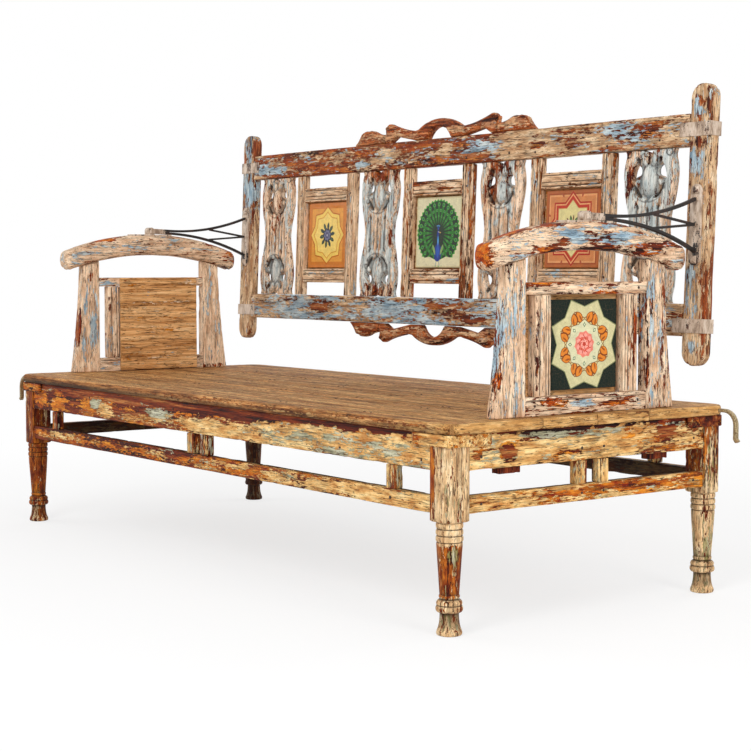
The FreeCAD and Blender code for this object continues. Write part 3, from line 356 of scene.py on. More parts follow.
def plate(outline, thick, plane, at, pitch, step, edge, holes=(), rows=3, along="v", relief=None,
          wild=1.0, lines=()):
    """A shaped board: an outline with holes, its faces rounded to the rim and carved by `relief`.

    The plane is named by the axis across it, and `at` is the board's middle on that axis. The
    grain runs along the outline's first axis, "u", or its second, "v".
    """
    seed = next(seeds)
    rims = [turned_way(trace(outline, pitch), True)]
    rims += [turned_way(trace(hole, min(pitch, 2.5)), False) for hole in holes]
    starts, ends = sides_of(rims)
    ways = ends - np.concatenate([np.roll(rim, 1, axis=0) for rim in rims])
    ways /= np.linalg.norm(ways, axis=1)[:, None]
    inward = np.stack([-ways[:, 1], ways[:, 0]], axis=1)
    flat, triangles, rim_places = filled(rims, inner_spots(rims, inward, edge, step), lines)

    far, nearest = to_rim(flat, rims)
    share = np.clip(far / edge, 0, 1)
    drop = edge * (1 - np.sqrt(np.clip(1 - (1 - share) ** 2, 0, 1)))
    fade = np.clip(1 - far / 9, 0, 1)
    # the relief gives the carving's depth and the painted shade in its cuts
    carved, shaded = relief(flat[:, 0], flat[:, 1]) if relief else np.zeros((2, len(flat)))
    long_axis = "uv".index(along)
    lengthwise = [long_axis, 1 - long_axis, 2]

    def shifted(level):
        """The flat points moved in where the rim is worn, at one height across the board."""
        rim_spots = np.column_stack([starts, np.full(len(starts), level)])[:, lengthwise]
        worn = notches(rim_spots, 2.0, seed + 500)
        worn = wild * (worn + 0.3 * (1 + ripple(rim_spots, (40, 12, 12), seed)))
        return flat + inward[nearest] * (worn[nearest] * fade)[:, None], worn

    deep = thick / 2 - edge
    points, wear, painted_shade = [], [], []
    for way in (1, -1):
        moved, worn = shifted(way * deep)
        solid = np.column_stack([moved, np.full(len(flat), float(way))])
        dents = 0.35 * wild * (1 + ripple(solid[:, lengthwise], (70, 13, 13), seed + 900 + way))
        solid[:, 2] = way * (thick / 2 - drop - (carved + dents) * np.clip(far / 2, 0, 1))
        points.append(solid)
        wear.append(np.clip(1 - far / 13, 0, 1) + 0.4 * worn[nearest] * fade)
        painted_shade.append(shaded)
    size = len(flat)
    faces = triangles.tolist() + (triangles[:, ::-1] + size).tolist()
    chains, total = [rim_places], 2 * size
    for level in np.linspace(deep, -deep, rows + 1)[1:-1]:
        moved, worn = shifted(level)
        points.append(np.column_stack([moved[rim_places], np.full(len(starts), level)]))
        wear.append(0.5 + 0.4 * worn)
        painted_shade.append(np.zeros(len(starts)))
        chains.append(total + np.arange(len(starts)))
        total += len(starts)
    chains.append(rim_places + size)
    for upper, lower in zip(chains[:-1], chains[1:]):
        first = 0
        for rim in rims:
            spots = first + np.arange(len(rim))
            after = np.roll(spots, -1)
            faces += np.stack([lower[spots], lower[after], upper[after], upper[spots]], axis=1).tolist()
            first += len(rim)
    points = np.concatenate(points)
    away = np.zeros(3)
    away["xyz".index(plane)] = at
    shape = Shape(points @ np.array(PLANES[plane], float) + away, faces, grain_of(points, long_axis, seed),
                  np.concatenate(wear), np.concatenate(painted_shade))
    shape.flat, shape.triangles = flat, triangles
    return shape


def spun(profile, middle):
    """A turned form through rows of (height, radius), closed at both ends."""
    seed = next(seeds)
    sides = 48
    profile = np.array(profile, float)
    heights, radii = profile[:, 0], profile[:, 1]
    turns = np.arange(sides) * 2 * pi / sides
    height = np.repeat(profile[:, :1], sides, axis=1)
    rough_spots = np.stack([height.ravel(), np.tile(turns * 30, len(profile)), np.zeros(height.size)], axis=1)
    radius = profile[:, 1:] - 0.3 * (1 + ripple(rough_spots, (34, 14, 9), seed)).reshape(height.shape)
    points = np.stack([middle[0] + radius * np.cos(turns), middle[1] + radius * np.sin(turns), height],
                      axis=-1).reshape(-1, 3)
    faces = []
    for row in range(len(profile) - 1):
        for spot in range(sides):
            after = (spot + 1) % sides
            faces.append([row * sides + spot, row * sides + after,
                          (row + 1) * sides + after, (row + 1) * sides + spot])
    total = len(points)
    last = total - sides
    for spot in range(sides):
        after = (spot + 1) % sides
        faces.append([total, after, spot])
        faces.append([total + 1, last + spot, last + after])
    points = np.concatenate([points, [[*middle, heights[0]], [*middle, heights[-1]]]])
    slope = abs(np.gradient(radii, heights))
    proud = radii - np.convolve(np.pad(radii, 2, mode="edge"), np.ones(5) / 5, mode="valid")
    wear = np.concatenate([np.repeat(np.clip(proud * 0.5 + slope * 0.1, 0, 1), sides), [0, 0]])
    # painted shade in the turned grooves, where the profile dips
    painted_shade = np.concatenate([np.repeat(np.clip(-proud * 1.3, 0, 1), sides), [0, 0]])
    return Shape(points, faces, grain_of(points, 2, seed), wear, painted_shade)


# ---------------------------------------------------------------- pieces

def paint(axis, rows, spots=()):
    """Share of ochre, cream and blue paint left: rows of (place, ochre, cream, blue) along an axis.

    A spot is (middle, reach, (ochre, cream, blue)) and takes over inside its reach.
    """
    rows = np.array(rows, float)

    def left(points):
        made = np.stack([np.interp(points[:, axis], rows[:, 0], rows[:, way]) for way in (1, 2, 3)], axis=1)
        for middle, reach, amounts in spots:
            far = np.linalg.norm((points - np.array(middle, float)) / np.array(reach, float), axis=1)
            share = np.clip((1.6 - far) / 1.2, 0, 1)[:, None]
            made = made * (1 - share) + share * np.array(amounts, float)
        return made
    return left


def spots_on(axis, at, reach, rows):
    """Spots that share their place and reach along one axis, so the rows leave that axis out."""
    spots = []
    for middle, size, amounts in rows:
        middle, size = list(middle), list(size)
        middle.insert(axis, at)
        size.insert(axis, reach)
        spots.append((middle, size, amounts))
    return spots


def linked(name, mesh):
    """An object for a mesh, in the scene."""
    made = bpy.data.objects.new(name, mesh)
    bpy.context.scene.collection.objects.link(made)
    return made


def piece(name, shape, home, finish, node, coat=None):
    """Makes a mesh of a shape, with its finish, sets it on its body and hides the imported part it stands
    for.
    """
    body, origin, axes = home
    mesh = bpy.data.meshes.new(name)
    mesh.from_pydata(((origin + shape.points @ axes) / 1000).tolist(), [], shape.faces)
    mesh.polygons.foreach_set("use_smooth", [True] * len(mesh.polygons))
    amounts = coat(shape.points) if coat else np.zeros((len(shape.points), 3))
    for title, values in (("grain", shape.grain), ("paint", amounts)):
        mesh.attributes.new(title, "FLOAT_VECTOR", "POINT").data.foreach_set("vector", values.ravel())
    for title, values in (("wear", shape.wear), ("painted_shade", shape.painted_shade)):
        mesh.attributes.new(title, "FLOAT", "POINT").data.foreach_set("value", values)
    mesh.materials.append(finish)
    made = linked(name, mesh)
    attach(made, body)
    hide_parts(node)
    return made


# ---------------------------------------------------------------- finishes

def tint(code):
    """A colour written as in a paint chart, in the linear values that nodes take."""
    parts = [int(code[spot:spot + 2], 16) / 255 for spot in (0, 2, 4)]
    return [part / 12.92 if part <= 0.04045 else ((part + 0.055) / 1.055) ** 2.4 for part in parts] + [1]


class Nodes:
    """Shader nodes of a material or world. Inputs are numbers, colours or other nodes' outputs."""

    def __init__(self, owner):
        owner.use_nodes = True
        self.tree = owner.node_tree

    def feed(self, socket, value):
        if isinstance(value, bpy.types.NodeSocket):
            self.tree.links.new(value, socket)
        else:
            socket.default_value = value

    def outputs(self, kind, inputs, **settings):
        node = self.tree.nodes.new("ShaderNode" + kind)
        for title, value in settings.items():
            setattr(node, title, value)
        for key, value in inputs.items():
            self.feed(node.inputs[key], value)
        return node.outputs

    def add(self, kind, inputs, output=0, **settings):
        return self.outputs(kind, inputs, **settings)[output]

    def math(self, kind, first, second=0.0):
        return self.add("Math", {0: first, 1: second}, operation=kind)

    def seen(self):
        """1 for what the camera sees, directly, in mirrors or through glass, and 0 for other light."""
        rays = self.outputs("LightPath", {})
        plain = self.math("MAXIMUM", rays["Is Camera Ray"], rays["Is Glossy Ray"])
        return self.math("MAXIMUM", plain, rays["Is Transmission Ray"])


class Finish(Nodes):
    """A material that is built round its main shader."""

    def __init__(self, name):
        self.material = bpy.data.materials.new(name)
        super().__init__(self.material)
        self.shader = self.tree.nodes["Principled BSDF"]

    def read(self, title, output):
        return self.add("Attribute", {}, output, attribute_name=title)

    def parts(self, vector):
        return self.outputs("SeparateXYZ", {0: vector})

    def sum(self, *terms):
        """The sum of (value, factor) pairs."""
        total = None
        for value, factor in terms:
            total = self.add("Math", {0: value, 1: factor, 2: total or 0.0}, operation="MULTIPLY_ADD")
        return total

    def noise(self, vector, counts, detail, rough, offset=(0, 0, 0), twist=0.0):
        """Noise with so many waves per metre along each part of the vector."""
        vector = self.add("VectorMath", {0: vector, 1: counts, 2: offset}, operation="MULTIPLY_ADD")
        return self.add("TexNoise", {"Vector": vector, "Scale": 1.0, "Detail": detail,
                                     "Roughness": rough, "Distortion": twist})

    def step(self, value, low, high, to_low=0.0, to_high=1.0):
        return self.add("MapRange", {0: value, 1: low, 2: high, 3: to_low, 4: to_high},
                        interpolation_type="SMOOTHSTEP")

    def mix(self, share, first, second, kind="MIX"):
        return self.add("Mix", {0: share, 6: first, 7: second}, 2, data_type="RGBA", blend_type=kind)

    def ramp(self, value, tints, places):
        """Tints, written one after the other, at places along a value."""
        node = self.tree.nodes.new("ShaderNodeValToRGB")
        self.feed(node.inputs[0], value)
        bar = node.color_ramp
        while len(bar.elements) < len(places):
            bar.elements.new(0.5)
        for element, place, code in zip(bar.elements, places, tints.split()):
            element.position = place
            element.color = tint(code)
        return node.outputs[0]

    def raised(self, height, depth, strength):
        return self.add("Bump", {"Strength": strength, "Distance": depth, "Height": height})

    def done(self, **inputs):
        for title, value in inputs.items():
            self.feed(self.shader.inputs[title.replace("_", " ")], value)
        return self.material


OCHRE = "DFA34A C6812E 8E3F1A"
CREAM = "EEDDC9 DBC2A4 BF9F80"
BLUE = "D2DEE6 B2C8DA 8AA6BE"
FIELD, AMOUNT = 0.8, 0.46


def old_paint(name, wood, coats=(OCHRE, CREAM, BLUE), patch=(9, 58, 58), soil=0.4, flaked=1.0):
    """Bare wood under three coats of old paint, each flaked off in patches along the grain.

    The wood's four tints run from dark to pale, and a coat's three from light to dark. Painted shade darkens
    the rims of the flakes and the grooves, cuts and shaded faces that each piece marks.
    """
    own = Finish(name)
    grain = own.read("grain", 1)
    wear = own.read("wear", 2)
    painted_shade = own.read("painted_shade", 2)
    amounts = own.parts(own.read("paint", 1))
    fibre = own.noise(grain, (22, 520, 520), 3, 0.6)
    band = own.noise(grain, (2.2, 55, 55), 3, 0.55, twist=0.4)
    chip = own.noise(grain, (50, 170, 170), 4, 0.65)
    colour = own.ramp(own.sum((band, 0.65), (fibre, 0.35)), wood, (0.39, 0.47, 0.55, 0.65))
    height = own.math("MULTIPLY", fibre, 0.35)
    for layer, tones in enumerate(coats):
        field = own.noise(grain, patch, 4, 0.55, (5.3 * layer + 1, 2.1 * layer, 7.7), 0.3)
        level = own.sum((field, FIELD), (chip, 0.7 * flaked), (fibre, 0.3 * flaked),
                        (amounts[layer], AMOUNT), (wear, -0.06))
        bare = (FIELD + flaked + AMOUNT) / 2
        mask = own.step(level, bare - 0.008, bare + 0.008)
        # dark rim round each flake: painted shade under the flake's lifted edge, and dirt caught along it
        rim = own.step(level, bare - 0.045, bare)
        colour = own.mix(own.math("MULTIPLY", rim, 0.5), colour, tint("24130D"))
        mottle = own.noise(grain, (15, 60, 60), 5, 0.7, (3 * layer, 9, 4))
        colour = own.mix(mask, colour, own.ramp(mottle, tones, (0.38, 0.5, 0.64)))
        height = own.sum((mask, 0.5), (height, 1.0))
    crack = own.noise(grain, (9, 210, 210), 2, 0.5, (4, 1, 6))
    crack = own.step(own.math("ABSOLUTE", own.math("SUBTRACT", crack, 0.5)), 0.006, 0.024)
    dirt = own.noise(grain, (14, 90, 90), 4, 0.7, (1, 8, 2))
    colour = own.mix(own.step(dirt, 0.46, 0.7, 0.0, soil), colour, tint("5A4130"), "MULTIPLY")
    pits = own.noise(grain, (110, 330, 330), 2, 0.6, (6, 3, 1))
    colour = own.mix(own.step(pits, 0.66, 0.72, 0.0, 0.85), colour, tint("3A170E"))
    colour = own.mix(own.math("MULTIPLY", own.math("SUBTRACT", 1.0, crack), 0.75), colour, tint("23150E"))
    colour = own.add("Gamma", {0: colour, 1: 1.2})
    colour = own.mix(1.0, colour, (1.17, 1.1, 0.98, 1), "MULTIPLY")
    # painted shade: near-black over the grooves, cuts and shaded faces that the pieces mark
    colour = own.mix(own.math("MULTIPLY", painted_shade, 0.9), colour, tint("1E0E08"))
    height = own.sum((crack, 0.7), (height, 1.0))
    rough = own.sum((fibre, 0.25), (chip, 0.3), (0.32, 1.0))
    return own.done(Base_Color=colour, Roughness=rough, Specular_IOR_Level=0.15,
                    Normal=own.raised(height, 0.0009, 0.8))


RED_WOOD = "280E09 66260F 964C26 C08A56"
BROWN_WOOD = "33190F 78421F A66C3E C49A6A"
FADED_WOOD = "2A110A 74371D A4633E CE9C72"
GOLD_WOOD = "AA7E52 D0A474 E2BC8E EED2AE"
SEAT_WOOD = "6A4222 B48252 DAAE7A F0D09E"
CREST_WOOD = "3A1A0E A2582E D08858 EAB88E"
DARK_WOOD = "1C110B 38231A 4E3525 654734"

frame_paint_finish = old_paint("flaked_ochre_and_cream", RED_WOOD, (
    "E2A244 C87A26 8C3212", "F0DAAC E0BC84 C08C54", "D2D4C6 BDBEAA 9C9C86"))
leg_finish = old_paint("flaked_leg_paint", RED_WOOD, (
    "C88436 9A5420 66200E", "F0DFC2 DFC4A0 BE9C78", "C4C2AE AAA27C 8A7E44"), patch=(8, 95, 95))
arm_finish = old_paint("flaked_arm_paint", RED_WOOD, (
    "D8903C BC5E1C 8C3412", "F2E2D0 E4CCB6 CAA88E", BLUE), soil=0.3)
back_finish = old_paint("flaked_back_paint", FADED_WOOD, (
    "CC8E4C AC5C28 863A1A", "E8D6BE D2B596 B28C6C", BLUE), flaked=1.2)
stick_finish = old_paint("flaked_stick_paint", BROWN_WOOD, (
    "CE8C48 AE6228 8A401C", "F2E0CC E0C6AC C4A286", BLUE), soil=0.25)
splat_finish = old_paint("flaked_splat_paint", RED_WOOD, (
    "CC8E58 AA5E30 843C1C", "F8E8DA EAD2BC CEAA90", "E6EAEC D0DAE0 B2C2CC"), soil=0.18)
crest_finish = old_paint("worn_crest_wood", CREST_WOOD, (
    "C47A42 A2562A 7C3A1C", "E8CDB0 D6AC88 B8866A", BLUE), soil=0.25)
seat_finish = old_paint("worn_seat_wood", SEAT_WOOD, (
    "C08248 9A5A2C 6E2C16", "E0C090 CCA46E B48A58", "D6BC94 BC9C72 9A7C58"),
    patch=(1.6, 60, 60), soil=0.45, flaked=1.3)
board_finish = old_paint("golden_board", GOLD_WOOD, soil=0.3)
dark_finish = old_paint("dark_batten_wood", DARK_WOOD, soil=0.6)


def forged_iron(name, dark, worn, rust, painted=None):
    """Forged iron with scale and rust.

    With `painted`, old paint covers it near the pins and where y passes that place, in metres.
    """
    own = Finish(name)
    where = own.add("TexCoord", {}, "Object")
    blows = own.noise(where, (90, 90, 90), 2, 0.5)
    scale = own.noise(where, (420, 420, 420), 4, 0.65)
    spots = own.noise(where, (38, 38, 38), 4, 0.6)
    colour = own.mix(own.step(scale, 0.4, 0.7), tint(dark), tint(worn))
    colour = own.mix(own.step(spots, 0.5, 0.66, 0.0, 0.8), colour, tint(rust))
    metal = 0.35
    if painted is not None:
        depth = own.parts(where)[1]
        field = own.noise(where, (60, 60, 22), 4, 0.6)
        at_wood = own.step(depth, painted, painted + 0.008)
        at_pin = own.step(depth, 0.04, 0.09, 1.0, 0.0)
        level = own.sum((field, 0.9), (scale, 0.35), (own.math("MAXIMUM", at_wood, at_pin), 0.55))
        mottle = own.noise(where, (55, 55, 20), 5, 0.7, (3, 5, 7))
        tone = own.ramp(mottle, "D6C4B2 BFA892 8C7460", (0.38, 0.5, 0.62))
        colour = own.mix(own.step(level, 1.06, 1.09), colour, tone)
        metal = 0.1
    rough = own.sum((scale, 0.5), (0.3, 1.0))
    height = own.sum((blows, 0.8), (scale, 0.25))
    return own.done(Base_Color=colour, Roughness=rough, Metallic=metal,
                    Normal=own.raised(height, 0.0012, 0.7))


fork_finish = forged_iron("forged_fork_iron", "0D0908", "241A15", "3A2014", 0.352)
hook_finish = forged_iron("rubbed_iron", "6A5232", "D8C69A", "8A6236")
strap_finish = forged_iron("painted_strap", "2E1F18", "5A4030", "6A3A22", 0.2)
lug_finish = forged_iron("painted_lug", "2A2420", "5A5048", "6A4A34", -0.2)


def glaze(name):
    """Glazed tile painted in the colours of its faces, with fine crazing."""
    own = Finish(name)
    where = own.add("TexCoord", {}, "Object")
    cloud = own.noise(where, (60, 60, 60), 3, 0.6)
    grit = own.noise(where, (700, 700, 700), 2, 0.6)
    shade = own.sum((cloud, 0.5), (grit, 0.35), (0.55, 1.0))
    colour = own.add("VectorMath", {0: own.read("glaze", 0), 3: shade}, operation="SCALE")
    cells = own.add("TexVoronoi", {"Vector": where, "Scale": 130.0}, feature="DISTANCE_TO_EDGE")
    crazed = own.step(cells, 0.0, 0.035)
    colour = own.mix(own.math("MULTIPLY", own.math("SUBTRACT", 1.0, crazed), 0.35), colour, tint("6B5236"))
    wave = own.noise(where, (45, 45, 45), 2, 0.5)
    height = own.sum((wave, 1.0), (crazed, 0.12))
    return own.done(Base_Color=colour, Roughness=own.sum((grit, 0.2), (0.22, 1.0)), Specular_IOR_Level=0.15,
                    Coat_Weight=0.06, Coat_Roughness=0.15, Normal=own.raised(height, 0.0006, 0.5))


glaze_finish = glaze("glazed_tile")

# ---------------------------------------------------------------- seat

seat_coat = paint(0, [(-1045, 0.1, 0.35, 0.25), (-500, 0.1, 0.3, 0.35), (300, 0.1, 0.35, 0.35),
                      (800, 0.1, 0.45, 0.2), (1045, 0.15, 0.55, 0.1)])


def along_ends(shape):
    """Turns the grain along the board's ends, where it was planed across."""
    ends = SEAT_HALF_LONG - abs(shape.points[:, 0]) < 7
    shape.grain[ends] = shape.grain[ends][:, [1, 0, 2]]


def nosed_coat(points):
    """The seat's paint: nearly bare on top, tan and dark red streaks round its edge."""
    made = seat_coat(points)
    to_end = SEAT_HALF_LONG - abs(points[:, 0])
    to_front = SEAT_HALF_DEEP - abs(points[:, 1])
    edge = np.clip(1 - np.minimum(to_end, to_front) / 10, 0, 1)
    made[:, 0] += edge * np.interp(points[:, 0], [-1045, 400, 1045], [0.35, 0.4, 0.45])
    made[:, 1] += edge * np.interp(points[:, 0], [-1045, 0, 700, 1045], [-0.4, -0.15, 0.15, 0.25])
    made[:, 2] *= 1 - edge
    return made


clip_x, clip_y = SEAT_HALF_LONG - SEAT_CLIP, SEAT_HALF_DEEP - SEAT_CLIP
for name, way in (("front", -1), ("rear", 1)):
    outline = [(-SEAT_HALF_LONG, way * PLANK_EDGE), (SEAT_HALF_LONG, way * PLANK_EDGE),
               (SEAT_HALF_LONG, way * clip_y), (clip_x, way * SEAT_HALF_DEEP),
               (-clip_x, way * SEAT_HALF_DEEP), (-SEAT_HALF_LONG, way * clip_y)]
    shape = plate(outline, SEAT_TOP - SEAT_UNDER, "z", (SEAT_TOP + SEAT_UNDER) / 2, pitch=9, step=11, edge=5,
                  along="u", wild=0.8)
    # painted shade on the underside of the seat's front and rear edges, strongest towards the left
    low = np.clip((SEAT_TOP - 9 - shape.points[:, 2]) / 6, 0, 1)
    rim = np.clip(3 - (SEAT_HALF_DEEP - abs(shape.points[:, 1])) / 4, 0, 1)
    shade_falloff = np.interp(shape.points[:, 0], [-600, 300], [1.0, 0.4])
    shape.painted_shade = np.maximum(shape.painted_shade, low * rim * shade_falloff)
    along_ends(shape)
    piece("seat_board_" + name, shape, BENCH, seat_finish, "seat_plank_" + name, nosed_coat)
    shape = block(*box_of("seat_plank_inner_" + name), "x", edge=2.0, step=14, wild=0.8)
    along_ends(shape)
    piece("seat_board_inner_" + name, shape, BENCH, seat_finish,
          "seat_plank_inner_" + name, nosed_coat)

batten_reach = SEAT_HALF_DEEP - 20
battens = joined([block((step * BATTEN_STEP - BATTEN_HALF, -batten_reach, SEAT_UNDER - BATTEN_THICK),
                        (step * BATTEN_STEP + BATTEN_HALF, batten_reach, SEAT_UNDER), "y", edge=2, step=20)
                  for step in range(-2, 3)])
piece("battens", battens, BENCH, dark_finish, "seat_battens")

# ---------------------------------------------------------------- legs and lower frame

LEG_PROFILE = [(0, 24), (0.8, 26.5), (2.5, 28), (5, 28.5), (8, 28.2), (11, 27.1), (15, 25.4), (20, 23.9),
               (26, 22.7), (33, 21.8), (40, 21.3), (46, 21.2), (48.6, 21.4), (49.6, 23.2), (50.4, 26.2),
               (52.2, 28.4), (55, 29.7), (58, 30), (61, 29.6), (63.6, 28.4), (64.8, 27.4), (66, 27.5),
               (67.6, 28.3), (70, 28.6), (72.8, 27.9), (75.2, 26.2), (77, 23.8), (78.2, 21.8), (79.4, 21),
               (80.6, 21.9), (82.6, 22.8), (85.4, 22.9), (87.4, 22), (88.4, 21.4)]
LEG_PROFILE += [(90 + step * 9, 21.6 + step * 0.6) for step in range(12)]
LEG_PROFILE += [(197, 28.6), (199, 28.4), (200.4, 27.4)]
for ring in range(3):
    foot = 201 + ring * 14.2
    LEG_PROFILE += [(foot, 27.2), (foot + 1.4, 28.9), (foot + 4, 29.9), (foot + 7, 30), (foot + 10, 29.8),
                    (foot + 12.4, 28.8), (foot + 13.4, 27.4)]
LEG_PROFILE.append((246, 27))
POST_LOW = 243

leg_coats = {
    ("front", "right"): paint(2, [
        (0, 0.6, 0.7, 0.25), (48, 0.6, 0.6, 0.2), (52, 0.7, 0.6, 0.1), (80, 0.7, 0.65, 0.1),
        (90, 0.75, 0.2, 0.15), (190, 0.75, 0.2, 0.15), (198, 0.65, 0.8, 0.1), (245, 0.65, 0.85, 0.15),
        (300, 0.7, 0.8, 0.3), (431, 0.7, 0.85, 0.3)], [
        ((985, -430, 180), (20, 20, 20), (0.1, 0, 0)), ((990, -425, 120), (16, 20, 24), (0.2, 0, 0)),
        ((1024, -400, 175), (10, 12, 18), (0.3, 0.1, 0.75)),
        ((976, -424, 330), (14, 30, 110), (0.8, 0.2, 0))]),
    ("front", "left"): paint(2, [
        (0, 0.6, 0.5, 0.2), (50, 0.7, 0.4, 0.1), (90, 0.7, 0.15, 0.1), (190, 0.7, 0.15, 0.1),
        (245, 0.75, 0.3, 0.1), (431, 0.75, 0.3, 0.1)]),
    ("rear", "right"): paint(2, [
        (0, 0.5, 0.85, 0.3), (60, 0.6, 0.85, 0.2), (90, 0.55, 0.75, 0.4), (245, 0.6, 0.75, 0.2),
        (300, 0.75, 0.4, 0.35), (431, 0.75, 0.45, 0.35)]),
    ("rear", "left"): paint(2, [
        (0, 0.6, 0.5, 0.2), (90, 0.7, 0.3, 0.1), (190, 0.7, 0.4, 0.1), (431, 0.7, 0.5, 0.2)]),
}
for end, sign_x in (("left", -1), ("right", 1)):
    for row, sign_y in (("front", -1), ("rear", 1)):
        middle = (sign_x * (LEG_X - LEG_HALF), sign_y * (LEG_Y - LEG_HALF))
        clipped = LEG_HALF - LEG_CLIP
        section = [(-LEG_HALF, -LEG_HALF), (LEG_HALF, -LEG_HALF), (LEG_HALF, clipped), (clipped, LEG_HALF),
                   (-LEG_HALF, LEG_HALF)]
        section = [(middle[0] + sign_x * x, middle[1] + sign_y * y) for x, y in section]
        post = plate(section, SEAT_UNDER - POST_LOW, "z", (SEAT_UNDER + POST_LOW) / 2, pitch=6, step=9,
                     edge=3, rows=18)
        post.grain = grain_of(post.points, 2, next(seeds))
        turned = spun(LEG_PROFILE, middle)
        # painted shade on the rear-left leg, darkest on the faces turned toward the middle and front of the
        # bench
        if (row, end) == ("rear", "left"):
            for part in (post, turned):
                inward = part.points[:, 0] - middle[0] - part.points[:, 1] + middle[1]
                part.painted_shade = np.maximum(part.painted_shade, 0.9 * np.clip(0.5 + inward / 40, 0.1, 1))
        piece("leg_%s_%s_wood" % (row, end), post + turned, BENCH, leg_finish,
              "leg_%s_%s" % (row, end), leg_coats[row, end])


def under_board(coat, band):
    """A coat left off below the seat in a ragged band, given as rows of (x, height); the bare dark wood there
    is painted shade under the seat's edge.
    """
    places, heights = np.array(band, float).T

    def left(points):
        ragged = np.interp(points[:, 0], places, heights) - 4
        ragged = ragged + 7 * ripple(points, (30, 30, 30), 71) + 6 * ripple(points, (9, 9, 9), 72)
        return coat(points) * np.clip((SEAT_UNDER - points[:, 2] - ragged) / 3, 0, 1)[:, None]
    return left


front_spots = spots_on(1, -420, 60, [
    ((-930, 392), (50, 26), (0.98, 0.1, 0)), ((-855, 390), (24, 22), (0, 0, 0)),
    ((-785, 382), (54, 24), (0.98, 0.15, 0)), ((-690, 378), (50, 20), (0.4, 0, 0)),
    ((-615, 374), (34, 20), (0.95, 0.4, 0.2)), ((-565, 388), (26, 16), (0.5, 0.3, 0.9)),
    ((-500, 380), (45, 24), (0.9, 0.75, 0.1)), ((-415, 395), (36, 14), (0.2, 0, 0)),
    ((-320, 366), (80, 14), (0.85, 0.6, 0.1)), ((-200, 388), (60, 20), (0.6, 0.7, 0.7)),
    ((-740, 279), (190, 14), (0.85, 0.5, 0.1)), ((-250, 279), (90, 12), (0.85, 0.4, 0.1)),
    ((60, 370), (160, 20), (0.8, 0.9, 0.1)), ((420, 380), (160, 26), (0.6, 0.9, 0.5)),
    ((700, 385), (160, 26), (0.7, 0.9, 0.4)), ((120, 279), (160, 12), (0.8, 0.4, 0.1)),
    ((-430, 279), (100, 12), (0.5, 0.15, 0.1)), ((820, 279), (200, 14), (0.7, 0.9, 0.2))])
right_spots = spots_on(0, 1030, 60, [
    ((-250, 385), (26, 16), (0.2, 0.1, 0.1)), ((-340, 380), (12, 10), (0.1, 0.1, 0.1)),
    ((-60, 375), (40, 6), (0.3, 0.2, 0.1)), ((240, 395), (30, 26), (0.3, 0.1, 0)),
    ((-60, 415), (140, 8), (0.5, 0.4, 0.8)), ((100, 279), (380, 14), (0.85, 0.35, 0.1)),
    ((60, 395), (80, 14), (0.98, 0.7, 0.1))])
bar_coats = {
    "front": (paint(0, [
        (-973, 0.4, 0.15, 0.1), (-600, 0.35, 0.1, 0.1), (-400, 0.4, 0.15, 0.2), (100, 0.5, 0.35, 0.2),
        (300, 0.65, 0.6, 0.2), (500, 0.6, 0.7, 0.3), (973, 0.6, 0.8, 0.35)], front_spots),
        ((-1000, 8), (-800, 16), (-600, 26), (-300, 26), (100, 34), (260, 34), (420, 16), (1000, 16))),
    "rear": (paint(0, [(-973, 0.7, 0.5, 0.2), (300, 0.75, 0.5, 0.1), (973, 0.7, 0.6, 0.3)]),
             ((-1000, 20), (1000, 12))),
    "left": (paint(1, [(-365, 0.75, 0.4, 0.2), (365, 0.7, 0.5, 0.2)]), ((-1045, 16), (1045, 14))),
    "right": (paint(1, [(-365, 0.75, 0.85, 0.3), (0, 0.7, 0.8, 0.3), (365, 0.75, 0.6, 0.2)], right_spots),
              ((-1045, 9), (1045, 9))),
}
for kind in ("apron", "stretcher"):
    for place, (coat, band) in bar_coats.items():
        low, high = box_of("%s_%s" % (kind, place))
        along, across = ("x", 1) if place in ("front", "rear") else ("y", 0)
        shape = block(low, high, along, edge=2.6)
        outer = max(abs(low[across]), abs(high[across]))
        # painted shade on the inner halves of the aprons and stretchers, inside the frame
        shape.painted_shade[abs(shape.points[:, across]) < outer - 0.6 * (high[across] - low[across])] = 1
        piece("%s_%s_bar" % (kind, place), shape, BENCH, frame_paint_finish,
              "%s_%s" % (kind, place), under_board(coat, band) if kind == "apron" else coat)

spots = []
for sign in (-1, 1):
    spots += [(x, sign * (LEG_Y - 15), 16, 12) for x in SPACER_PLACES]
    spots += [(sign * (LEG_X - 15), y, 12, 16) for y in SPACER_PAIR]
blocks = joined([block((x - half_x, y - half_y, STRETCHER_TOP), (x + half_x, y + half_y, APRON_UNDER), "z",
                       edge=2.2, step=8) for x, y, half_x, half_y in spots])
piece("spacers", blocks, BENCH, frame_paint_finish, "spacer_blocks",
      paint(0, [(-1033, 0.5, 0.4, 0.3), (0, 0.5, 0.6, 0.4), (1033, 0.4, 0.7, 0.4)]))

